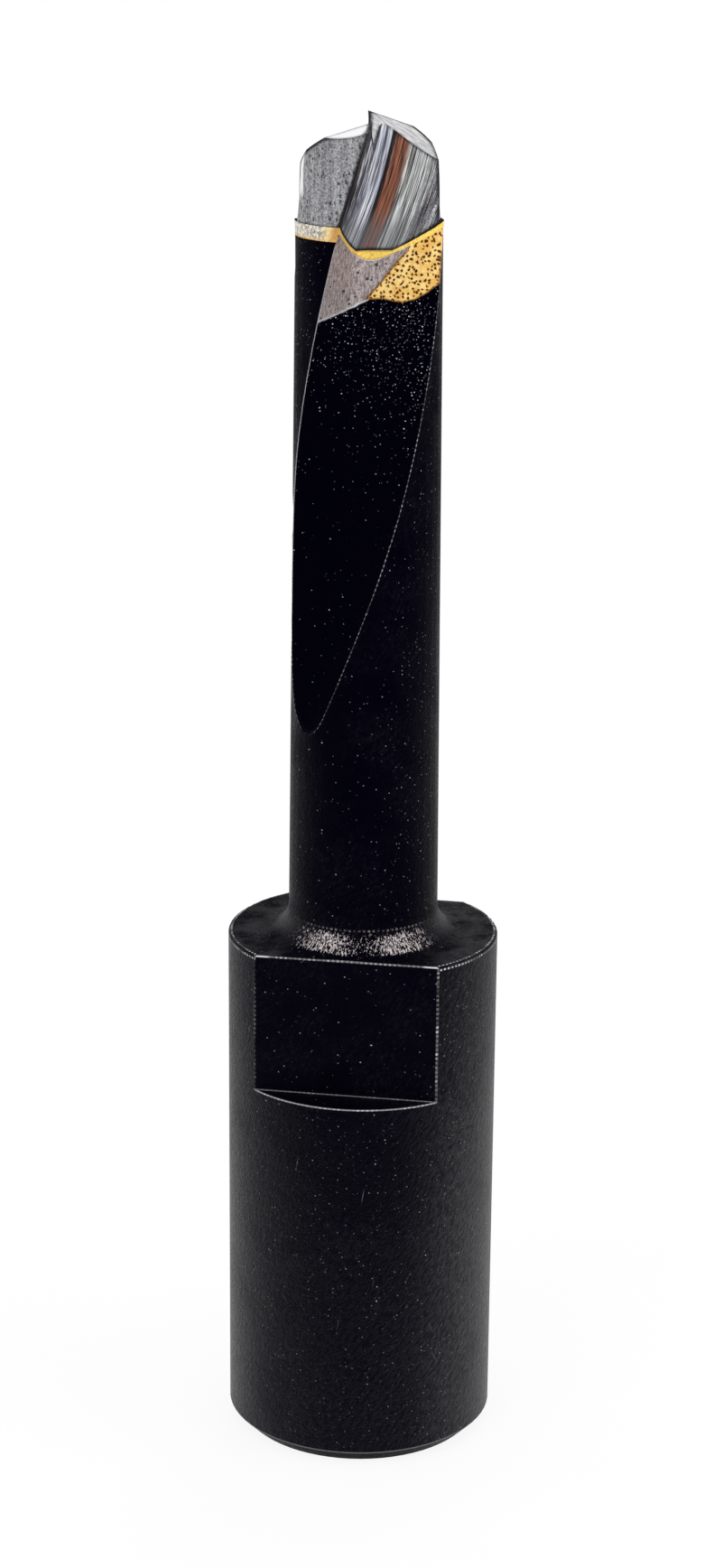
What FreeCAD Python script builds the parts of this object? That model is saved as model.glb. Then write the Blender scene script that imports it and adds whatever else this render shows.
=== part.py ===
import FreeCAD, Part
import math
import os

import Sketcher
from FreeCAD import Placement, Rotation, Vector

# Mortising cutter: a turned steel body with a screw-on boss and a fluted stem,
# and a two-edged carbide tip brazed into a conical seat at the stem's end.
# The part stands on the boss's flat end, with the axis along +Z.
# The front is -Y. Angles round the axis are counted from the front towards +X.

doc = FreeCAD.newDocument("MortisingCutter")

# Driving dimensions, in millimetres and degrees
SIZES = [
    ("boss_diameter", 23.0),
    ("boss_height", 45.0),
    ("foot_chamfer", 1.2),
    ("boss_rim_break", 0.25),
    ("spanner_width", 17.0),
    ("spanner_length", 12.0),
    ("spanner_angle", -9.4),
    ("stem_base_diameter", 12.7),
    ("stem_end_diameter", 11.9),
    ("stem_fillet", 2.5),
    ("stem_length", 59.7),
    ("thread_diameter", 12.0),
    ("thread_depth", 22.0),
    ("register_diameter", 13.0),
    ("register_depth", 3.0),
    ("drill_point_angle", 118.0),
    ("cutting_diameter", 12.0),
    ("tip_centre_height", 6.15),
    ("seat_angle", 118.0),
    ("seat_rim_bevel_height", 0.75),
    ("seat_rim_bevel_width", 0.3),
    ("seat_flat_diameter", 4.8),
    ("braze_film", 0.25),
    ("braze_band", 0.4),
    ("braze_band_depth", 0.7),
    ("stem_lead", 140.0),
    ("tip_lead", 122.5),
    ("edge_angle_at_seat", -23.8),
    ("flute_width_angle", 108.0),
    ("core_radius", 1.5),
    ("flute_bottom_radius", 2.2),
    ("flute_length", 38.6),
    ("runout_radius", 50.0),
    ("runout_angle", 104.5),
    ("tip_wall_angle", -15.0),
    ("tip_bottom_radius", 0.8),
    ("tip_web", 0.7),
    ("end_hollow_angle", 28.4),
    ("end_climb_angle", 32.5),
    ("corner_bevel_height", 1.0),
    ("corner_bevel_width", 0.85),
    ("corner_bevel_angle", 40.0),
    ("land_width_angle", 52.0),
    ("heel_radius", 5.66),
    ("spill_thickness", 0.14),
]

sheet = doc.addObject("Spreadsheet::Sheet", "Sizes")
for row, (alias, number) in enumerate(SIZES, start=1):
    sheet.set("A" + str(row), alias)
    sheet.set("B" + str(row), str(number))
    sheet.setAlias("B" + str(row), alias)
doc.recompute()


def size(alias):
    """Return the number that a cell of the sheet holds."""
    return float(sheet.get(alias))


# Heights that several pieces share, as formulas over the sheet
SEAT_RIM = "(Sizes.boss_height + Sizes.stem_length)"
SEAT_DROP = "Sizes.stem_end_diameter / 2 / tan(Sizes.seat_angle / 2)"
SEAT_POINT = "(" + SEAT_RIM + " - " + SEAT_DROP + ")"
FILM_RISE = "Sizes.braze_film / sin(Sizes.seat_angle / 2)"
BAND_RADIUS = "(Sizes.cutting_diameter / 2 - Sizes.braze_band_depth)"
TIP_BAND_BOTTOM = SEAT_POINT + " + " + FILM_RISE + " + " + BAND_RADIUS + " / tan(Sizes.seat_angle / 2)"
TIP_FLAT = SEAT_POINT + " + " + FILM_RISE + " + Sizes.seat_flat_diameter / 2 / tan(Sizes.seat_angle / 2)"
TIP_LAND_FOOT = SEAT_RIM + " + Sizes.braze_band"
TIP_CENTRE = SEAT_RIM + " + Sizes.tip_centre_height"
BLANK_EXCESS = 1.0
TIP_CORNERS = TIP_CENTRE + " + Sizes.cutting_diameter / 2 * tan(Sizes.end_hollow_angle)"
TIP_TOP = TIP_CORNERS + " + " + str(BLANK_EXCESS)


def own_plane(body, role):
    """Return one of a body's own origin planes or axes."""
    for feature in body.Origin.OriginFeatures:
        if feature.Role == role:
            return feature
    raise ValueError("no origin feature " + role)


def flat_sketch(body, name, role):
    """Add a sketch that lies flat on one of the body's origin planes."""
    sketch = body.newObject("Sketcher::SketchObject", name)
    sketch.AttachmentSupport = [(own_plane(body, role), "")]
    sketch.MapMode = "FlatFace"
    return sketch


def pin(sketch, edge, end, across, up):
    """Hold an edge's end at the two distances from the origin that the formulas give."""
    for kind, formula in (("DistanceX", across), ("DistanceY", up)):
        number = sketch.addConstraint(Sketcher.Constraint(kind, -1, 1, edge, end, 1.0))
        sketch.setExpression("Constraints[" + str(number) + "]", formula)


def outline(sketch, corners, guesses):
    """Draw a closed outline of straight edges through corners given as formulas."""
    start = sketch.GeometryCount
    count = len(corners)
    for index in range(count):
        first = guesses[index]
        last = guesses[(index + 1) % count]
        sketch.addGeometry(Part.LineSegment(Vector(*first, 0), Vector(*last, 0)))
    for index in range(count):
        edge = start + index
        following = start + (index + 1) % count
        sketch.addConstraint(Sketcher.Constraint("Coincident", edge, 2, following, 1))
        pin(sketch, edge, 1, *corners[index])


def turned(body, name, sketch):
    """Revolve a half section about the body's upright axis."""
    feature = body.newObject("PartDesign::Revolution", name)
    feature.Profile = sketch
    feature.ReferenceAxis = (own_plane(body, "Z_Axis"), [""])
    feature.Angle = 360.0
    sketch.Visibility = False
    return feature


# Steel blank: boss, stem and both end recesses are one turned profile
steel = doc.addObject("PartDesign::Body", "SteelBlank")
section = flat_sketch(steel, "SteelSection", "XZ_Plane")
BOSS_RADIUS = "Sizes.boss_diameter / 2"
THREAD_RADIUS = "Sizes.thread_diameter / 2"
REGISTER_RADIUS = "Sizes.register_diameter / 2"
STEM_END_RADIUS = "Sizes.stem_end_diameter / 2"
SEAT_MOUTH_RADIUS = "(Sizes.stem_end_diameter / 2 - Sizes.seat_rim_bevel_width)"
SEAT_MOUTH = SEAT_POINT + " + " + SEAT_MOUTH_RADIUS + " / tan(Sizes.seat_angle / 2)"
DRILL_TOP = "Sizes.thread_depth + Sizes.thread_diameter / 2 / tan(Sizes.drill_point_angle / 2)"
steel_corners = [
    (REGISTER_RADIUS, "0"),
    (BOSS_RADIUS + " - Sizes.foot_chamfer", "0"),
    (BOSS_RADIUS, "Sizes.foot_chamfer"),
    (BOSS_RADIUS, "Sizes.boss_height"),
    ("Sizes.stem_base_diameter / 2", "Sizes.boss_height"),
    (STEM_END_RADIUS, SEAT_RIM + " - Sizes.seat_rim_bevel_height"),
    (SEAT_MOUTH_RADIUS, SEAT_MOUTH),
    ("0", SEAT_POINT),
    ("0", DRILL_TOP),
    (THREAD_RADIUS, "Sizes.thread_depth"),
    (THREAD_RADIUS, "Sizes.register_depth"),
    (REGISTER_RADIUS, "Sizes.register_depth"),
]
steel_guesses = [
    (6.5, 0),
    (10.3, 0),
    (11.5, 1.2),
    (11.5, 45),
    (6.3, 45),
    (5.9, 104),
    (5.6, 104.5),
    (0, 101),
    (0, 25.6),
    (6, 22),
    (6, 3),
    (6.5, 3),
]
outline(section, steel_corners, steel_guesses)
doc.recompute()
turned(steel, "SteelTurned", section)
doc.recompute()


def ring_edge(feature, radius, height):
    """Return the name of the round edge at a radius and a height."""
    for number, edge in enumerate(feature.Shape.Edges, start=1):
        curve = edge.Curve
        if not isinstance(curve, Part.Circle):
            continue
        if abs(curve.Radius - radius) < 0.001 and abs(curve.Center.z - height) < 0.001:
            return "Edge" + str(number)
    raise ValueError("no round edge at " + str((radius, height)))


# Fillet where the stem grows out of the boss, and the boss's slightly rounded rim
for name, diameter, radius in (
        ("StemFillet", "stem_base_diameter", "stem_fillet"),
        ("BossRim", "boss_diameter", "boss_rim_break")):
    before = steel.Tip
    ring = ring_edge(before, size(diameter) / 2, size("boss_height"))
    rounded = steel.newObject("PartDesign::Fillet", name)
    rounded.Base = (before, [ring])
    rounded.setExpression("Radius", "Sizes." + radius)
    doc.recompute()

# Two spanner flats, open at the boss's top face
flats = flat_sketch(steel, "SpannerFlats", "XY_Plane")
flats.AttachmentOffset = Placement(Vector(0, 0, 0), Rotation(Vector(0, 0, 1), size("spanner_angle")))
flats.setExpression(".AttachmentOffset.Base.z", "Sizes.boss_height - Sizes.spanner_length")
flats.setExpression(".AttachmentOffset.Rotation.Angle", "Sizes.spanner_angle")
HALF_FLATS = "Sizes.spanner_width / 2"
BEYOND_BOSS = "Sizes.boss_diameter"
for side in (-1, 1):
    near = str(side) + " * " + HALF_FLATS
    far = str(side) + " * " + BEYOND_BOSS
    corners = [("-" + BEYOND_BOSS, near), (BEYOND_BOSS, near), (BEYOND_BOSS, far), ("-" + BEYOND_BOSS, far)]
    guesses = [(-23, side * 8.5), (23, side * 8.5), (23, side * 23), (-23, side * 23)]
    outline(flats, corners, guesses)
doc.recompute()
milled = steel.newObject("PartDesign::Pocket", "SpannerMilled")
milled.Profile = flats
milled.Reversed = True
milled.setExpression("Length", "Sizes.spanner_length + Sizes.stem_fillet")
flats.Visibility = False
doc.recompute()


# Heights as numbers, for the shapes that a loft makes
seat_rim = size("boss_height") + size("stem_length")
tip_centre = seat_rim + size("tip_centre_height")
tip_radius = size("cutting_diameter") / 2
tip_top = tip_centre + tip_radius * math.tan(math.radians(size("end_hollow_angle")))
land_foot = seat_rim + size("braze_band")
flute_end = seat_rim - size("flute_length")
straight_reach = 0.75 * tip_radius
corner_reach = 3.3 * tip_radius

# How finely the lofts follow the flute, and how far a cutting shape overruns its cut
STRAIGHT_STEPS = 4
ROUND_STEPS = 5
RUNOUT_SECTIONS = 6
STEM_SECTIONS = 5
TIP_SECTIONS = 5
OVERRUN = 4.0
OVERRUN_ANGLE = 2.0


def edge_angle(height):
    """Return where a flute's cutting edge lies round the axis, in degrees."""
    lead = size("tip_lead") if height > seat_rim else size("stem_lead")
    return size("edge_angle_at_seat") + 360 * (height - seat_rim) / lead


def line_meeting(point, direction, other_point, other_direction):
    """Return where two lines in the section's plane cross."""
    across = other_direction[0] * direction[1] - other_direction[1] * direction[0]
    gap = (other_point[0] - point[0], other_point[1] - point[1])
    travel = (other_direction[0] * gap[1] - other_direction[1] * gap[0]) / across
    return (point[0] + travel * direction[0], point[1] + travel * direction[1])


def flute_curve(height, inset):
    """Return points along a flute's wall, for a cutting edge that points to the front.

    The wall is a straight rake face, a rounded bottom and a straight back wall that
    ends at the heel of the next land. An inset moves all three into the flute.
    """
    share = max(0.0, (height - seat_rim) / size("tip_centre_height"))
    heel_angle = math.radians(size("flute_width_angle"))
    heel = (tip_radius * math.sin(heel_angle), -tip_radius * math.cos(heel_angle))
    seat_slope = heel_angle - math.pi / 2 + math.asin(size("core_radius") / tip_radius)
    slope = seat_slope + share * (math.radians(size("tip_wall_angle")) - seat_slope)
    wall = (math.cos(slope), math.sin(slope))
    lean = share * size("tip_web") / 2 / tip_radius
    length = math.hypot(lean, 1)
    rake = (lean / length, 1 / length)
    edge = (0.0, -tip_radius)
    corner = line_meeting(edge, rake, heel, wall)
    ratio = size("tip_bottom_radius") / size("flute_bottom_radius")
    bottom = size("flute_bottom_radius") * ratio ** share
    opening = math.acos(-(rake[0] * wall[0] + rake[1] * wall[1]))
    setback = bottom / math.tan(opening / 2)
    rake_end = (corner[0] - setback * rake[0], corner[1] - setback * rake[1])
    wall_start = (corner[0] + setback * wall[0], corner[1] + setback * wall[1])
    centre = (rake_end[0] + bottom * rake[1], rake_end[1] - bottom * rake[0])
    rake_in = (inset * rake[1], -inset * rake[0])
    wall_in = (inset * (centre[0] - wall_start[0]) / bottom, inset * (centre[1] - wall_start[1]) / bottom)
    outer = (edge[0] - straight_reach * rake[0], edge[1] - straight_reach * rake[1])
    far = (heel[0] + straight_reach * wall[0], heel[1] + straight_reach * wall[1])
    points = []
    for step in range(STRAIGHT_STEPS):
        part = step / STRAIGHT_STEPS
        points.append((outer[0] + part * (rake_end[0] - outer[0]) + rake_in[0],
                       outer[1] + part * (rake_end[1] - outer[1]) + rake_in[1]))
    turn_start = math.atan2(rake_end[1] - centre[1], rake_end[0] - centre[0])
    turn = math.pi - opening
    for step in range(ROUND_STEPS + 1):
        angle = turn_start - turn * step / ROUND_STEPS
        points.append((centre[0] + (bottom - inset) * math.cos(angle),
                       centre[1] + (bottom - inset) * math.sin(angle)))
    for step in range(1, STRAIGHT_STEPS + 1):
        part = step / STRAIGHT_STEPS
        points.append((wall_start[0] + part * (far[0] - wall_start[0]) + wall_in[0],
                       wall_start[1] + part * (far[1] - wall_start[1]) + wall_in[1]))
    return points


def round_axis(radius, angle, height):
    """Return the point at a radius, an angle in degrees from the front, and a height."""
    turn = math.radians(angle)
    return Vector(radius * math.sin(turn), -radius * math.cos(turn), height)


def flute_section(height, lift, inset):
    """Return a flute's closed section at a height, lifted out of the stem by some distance."""
    shift = round_axis(lift, size("runout_angle"), 0)
    turn = Rotation(Vector(0, 0, 1), edge_angle(height))
    placed = []
    for across, back in flute_curve(height, inset):
        placed.append(turn.multVec(Vector(across + shift.x, back + shift.y, height)))
    outside = round_axis(corner_reach, edge_angle(height) + size("flute_width_angle") / 2, height)
    wall = Part.BSplineCurve()
    wall.interpolate(placed)
    edges = [wall.toShape(), Part.makeLine(placed[-1], outside), Part.makeLine(outside, placed[0])]
    return Part.Wire(edges)


def flute_void(inset):
    """Return the solid that one flute takes out of the stem and the tip."""
    full_lift = size("stem_base_diameter") / 2 - size("core_radius")
    runout = size("runout_radius")
    end_swing = math.acos(1 - full_lift / runout)
    last_swing = math.acos(1 - (full_lift + OVERRUN) / runout)
    runout_start = flute_end + runout * math.sin(end_swing)
    sections = []
    for step in range(RUNOUT_SECTIONS, 0, -1):
        swing = last_swing * step / RUNOUT_SECTIONS
        height = runout_start - runout * math.sin(swing)
        sections.append(flute_section(height, runout * (1 - math.cos(swing)), inset))
    for step in range(STEM_SECTIONS):
        part = step / STEM_SECTIONS
        height = runout_start + part * (seat_rim - runout_start)
        sections.append(flute_section(height, 0.0, inset))
    for step in range(TIP_SECTIONS + 1):
        height = seat_rim + step / TIP_SECTIONS * (tip_top + BLANK_EXCESS - seat_rim)
        sections.append(flute_section(height, 0.0, inset))
    return Part.makeLoft(sections, True, False)


# Both flutes as one cutting shape, shared by the stem, the braze and the tip
flute = flute_void(0.0)
opposite = flute.copy()
opposite.rotate(Vector(0, 0, 0), Vector(0, 0, 1), 180)
flutes = doc.addObject("Part::Feature", "Flutes")
flutes.Shape = Part.makeCompound([flute, opposite])


def cut_away(base, tool, label):
    """Cut a tool's shape out of a base and give the result its name."""
    result = doc.addObject("Part::Cut", label)
    result.Base = base
    result.Tool = tool
    result.Label = label
    return result


# Tip blank: a carbide rod with a blunt cone below, hollow-ground across its end
TIP_RADIUS = "Sizes.cutting_diameter / 2"
SEAT_FLAT_RADIUS = "Sizes.seat_flat_diameter / 2"
tip = doc.addObject("PartDesign::Body", "TipBlank")
tip_section = flat_sketch(tip, "TipSection", "XZ_Plane")
tip_corners = [
    ("0", TIP_FLAT),
    (SEAT_FLAT_RADIUS, TIP_FLAT),
    (BAND_RADIUS, TIP_BAND_BOTTOM),
    (TIP_RADIUS, TIP_LAND_FOOT),
    (TIP_RADIUS, TIP_TOP),
    ("0", TIP_TOP),
]
tip_guesses = [(0, 102), (2.4, 102), (5.3, 104), (6, 105), (6, 115), (0, 115)]
outline(tip_section, tip_corners, tip_guesses)
doc.recompute()
turned(tip, "TipTurned", tip_section)
doc.recompute()

# Each tooth's end flank is a plane that climbs towards its own cutting corner
FLANK_REACH = "Sizes.cutting_diameter"
FLANK_LOW = TIP_CENTRE + " - Sizes.cutting_diameter * tan(Sizes.end_hollow_angle)"
FLANK_HIGH = TIP_CENTRE + " + Sizes.cutting_diameter * tan(Sizes.end_hollow_angle)"
for tooth, climb in (("Front", 1), ("Back", -1)):
    flank = flat_sketch(tip, tooth + "Flank", "XZ_Plane")
    low_side = str(-climb) + " * " + FLANK_REACH
    high_side = str(climb) + " * " + FLANK_REACH
    flank_corners = [(low_side, FLANK_LOW), (high_side, FLANK_HIGH), (low_side, FLANK_HIGH)]
    flank_guesses = [(-12 * climb, 104), (12 * climb, 117), (-12 * climb, 117)]
    outline(flank, flank_corners, flank_guesses)
    doc.recompute()
    ground = tip.newObject("PartDesign::Pocket", tooth + "FlankGround")
    ground.Profile = flank
    ground.Reversed = climb > 0
    ground.setExpression("Length", "2 * Sizes.cutting_diameter")
    flank.Visibility = False
    doc.recompute()
tip.Placement = Placement(Vector(0, 0, 0), Rotation(Vector(0, 0, 1), 0))
tip.setExpression(".Placement.Rotation.Angle", "Sizes.end_climb_angle - 90")
doc.recompute()


def corner_bevel_void():
    """Return the block beyond the small bevel on the front tooth's outer corner."""
    lead_angle = math.radians(edge_angle(tip_top))
    trail_angle = lead_angle - math.radians(size("corner_bevel_angle"))
    climb_angle = math.radians(size("end_climb_angle"))
    rise = math.tan(math.radians(size("end_hollow_angle")))

    def end_point(angle, radius, drop):
        height = tip_centre + rise * radius * math.cos(angle - climb_angle) - drop
        return Vector(radius * math.sin(angle), -radius * math.cos(angle), height)

    inner = end_point(lead_angle, tip_radius - size("corner_bevel_width"), 0)
    lower = end_point(lead_angle, tip_radius, size("corner_bevel_height"))
    trail = end_point(trail_angle, tip_radius, 0)
    along = (trail - lower).normalize()
    outward = along.cross(inner - lower).normalize()
    if outward.dot(Vector(lower.x, lower.y, 0)) < 0:
        outward = outward * -1
    block = Part.makeBox(4 * tip_radius, 4 * tip_radius, 2 * tip_radius,
                         Vector(-2 * tip_radius, -2 * tip_radius, 0))
    block.Placement = Placement(trail, Rotation(Vector(0, 0, 1), outward))
    return block


def heel_relief_void():
    """Return the wedge that thins a carbide land from its round margin to its heel."""
    land_angle = 180 - size("flute_width_angle")
    margin = size("land_width_angle")
    slope = (size("heel_radius") - tip_radius) / (land_angle - margin)
    sections = []
    for step in range(TIP_SECTIONS + 1):
        height = land_foot + step / TIP_SECTIONS * (tip_top + BLANK_EXCESS - land_foot)
        lead_angle = edge_angle(height)
        near = round_axis(tip_radius - OVERRUN_ANGLE * slope, lead_angle - margin + OVERRUN_ANGLE, height)
        far = round_axis(size("heel_radius") + OVERRUN_ANGLE * slope,
                         lead_angle - land_angle - OVERRUN_ANGLE, height)
        outside = round_axis(tip_radius + OVERRUN, lead_angle - land_angle, height)
        sections.append(Part.makePolygon([near, far, outside, near]))
    return Part.makeLoft(sections, True, False)


tip_grinding = []
for void in (corner_bevel_void(), heel_relief_void()):
    behind = void.copy()
    behind.rotate(Vector(0, 0, 0), Vector(0, 0, 1), 180)
    tip_grinding += [void, behind]
ground_away = doc.addObject("Part::Feature", "TipGrinding")
ground_away.Shape = Part.makeCompound(tip_grinding)

# Braze: the film in the seat, the pool under the blunt cone and the band at the rim
braze = doc.addObject("PartDesign::Body", "BrazeBlank")
braze_section = flat_sketch(braze, "BrazeSection", "XZ_Plane")
braze_corners = [
    ("0", SEAT_POINT),
    (SEAT_MOUTH_RADIUS, SEAT_MOUTH),
    (STEM_END_RADIUS, SEAT_RIM + " - Sizes.seat_rim_bevel_height"),
    (STEM_END_RADIUS, SEAT_MOUTH),
    (TIP_RADIUS, TIP_LAND_FOOT),
    (BAND_RADIUS, TIP_BAND_BOTTOM),
    (SEAT_FLAT_RADIUS, TIP_FLAT),
    ("0", TIP_FLAT),
]
braze_guesses = [
    (0, 101),
    (5.6, 104.5),
    (5.95, 103.95),
    (5.95, 104.5),
    (6, 105.1),
    (5.3, 104),
    (2.4, 102.2),
    (0, 102.2),
]
outline(braze_section, braze_corners, braze_guesses)
doc.recompute()
turned(braze, "BrazeTurned", braze_section)
doc.recompute()

# Outline of the braze that ran out of the seam and down the front flute, seen from the
# front: shares of the tip's radius across, and of its diameter above the seat's rim
SPILL_OUTLINE = [
    (0.53, -0.10),
    (0.55, -0.133),
    (0.37, -0.225),
    (0.15, -0.37),
    (-0.05, -0.483),
    (0.20, -0.475),
    (0.32, -0.49),
    (0.45, -0.495),
    (0.62, -0.475),
    (0.78, -0.431),
    (0.98, -0.355),
    (1.20, -0.30),
    (1.20, 0.04),
    (0.95, 0.012),
]


def spill_skin():
    """Return the thin skin of spilt braze that lies on the front flute's wall."""
    corners = []
    for across, up in SPILL_OUTLINE:
        corners.append(Vector(across * tip_radius, -2 * tip_radius, seat_rim + up * 2 * tip_radius))
    region = Part.Face(Part.makePolygon(corners + corners[:1]))
    block = region.extrude(Vector(0, 3 * tip_radius, 0))
    stem_round = Part.makeCone(size("stem_base_diameter") / 2, size("stem_end_diameter") / 2,
                               size("stem_length"), Vector(0, 0, size("boss_height")))
    tip_round = Part.makeCylinder(tip_radius, size("tip_centre_height"), Vector(0, 0, seat_rim))
    inside = block.common(stem_round.fuse(tip_round))
    return inside.common(flute).cut(flute_void(size("spill_thickness")))


steel_body = cut_away(steel, flutes, "steel_body")
tip_fluted = cut_away(tip, flutes, "TipFluted")
doc.recompute()
carbide_tip = cut_away(tip_fluted, ground_away, "carbide_tip")
braze_fluted = cut_away(braze, flutes, "BrazeFluted")
spill = doc.addObject("Part::Feature", "BrazeSpill")
spill.Shape = spill_skin()
braze_filler = doc.addObject("Part::Fuse", "braze_filler")
braze_filler.Base = braze_fluted
braze_filler.Tool = spill
braze_filler.Label = "braze_filler"
doc.recompute()

# Every object must have come out whole before anything is written
for item in doc.Objects:
    if "Invalid" in item.State or "Error" in item.State:
        raise RuntimeError(item.Label + " failed: " + str(item.State))

os.makedirs("parts", exist_ok=True)
for piece in (steel_body, carbide_tip, braze_filler):
    shape = piece.Shape
    if shape.isNull() or not shape.isValid():
        raise RuntimeError(piece.Label + " has no valid shape")
    print(piece.Label, len(shape.Solids), "solid", round(shape.Volume, 1), "mm3", len(shape.Faces), "faces")
    shape.exportStep("parts/" + piece.Label + ".step")
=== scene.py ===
"""The looks of a two-edged slot mortising bit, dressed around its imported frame.

Sizes in the classes are millimetres and degrees. Angles round the axis are counted
from the front, which is -Y, towards +X. Meshes are written in metres.
"""

import logging
import math
from dataclasses import dataclass, field
from enum import Enum
from functools import cached_property

import bmesh
import bpy
from mathutils import Matrix, Vector


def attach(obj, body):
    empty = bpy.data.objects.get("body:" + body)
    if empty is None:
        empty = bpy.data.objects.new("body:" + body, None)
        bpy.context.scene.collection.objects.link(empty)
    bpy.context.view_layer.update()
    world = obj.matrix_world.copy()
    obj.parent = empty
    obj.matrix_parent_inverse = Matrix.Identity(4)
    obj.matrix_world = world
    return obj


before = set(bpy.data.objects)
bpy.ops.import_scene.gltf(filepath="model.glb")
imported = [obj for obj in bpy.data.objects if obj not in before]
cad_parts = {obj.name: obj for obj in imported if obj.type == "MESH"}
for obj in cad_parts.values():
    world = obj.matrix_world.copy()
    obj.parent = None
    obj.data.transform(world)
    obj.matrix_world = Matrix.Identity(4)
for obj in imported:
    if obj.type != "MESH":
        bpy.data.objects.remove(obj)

LOG = logging.getLogger("mortising_bit")
MM = 0.001
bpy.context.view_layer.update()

Socket = bpy.types.NodeSocket
Value = float | Socket
Tint = tuple[float, float, float]
Rgba = tuple[float, float, float, float]
Triple = tuple[float, float, float]
Span = tuple[float, float]


class Light(Enum):
    """The soft lamps of the plain studio, by where they stand."""

    KEY = "key"
    FILL = "fill"
    RIM = "rim"


@dataclass(frozen=True)
class Pattern:
    """A noise pattern that is 0 below one level of its noise and 1 above another.

    The scale counts waves in a unit of the place that it is read at.
    """

    scale: float
    detail: float
    roughness: float
    low: float
    high: float


@dataclass(frozen=True)
class Grains:
    """Round grains: cells in a millimetre, and the largest radius as a share of a cell."""

    scale: float
    size: float


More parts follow.
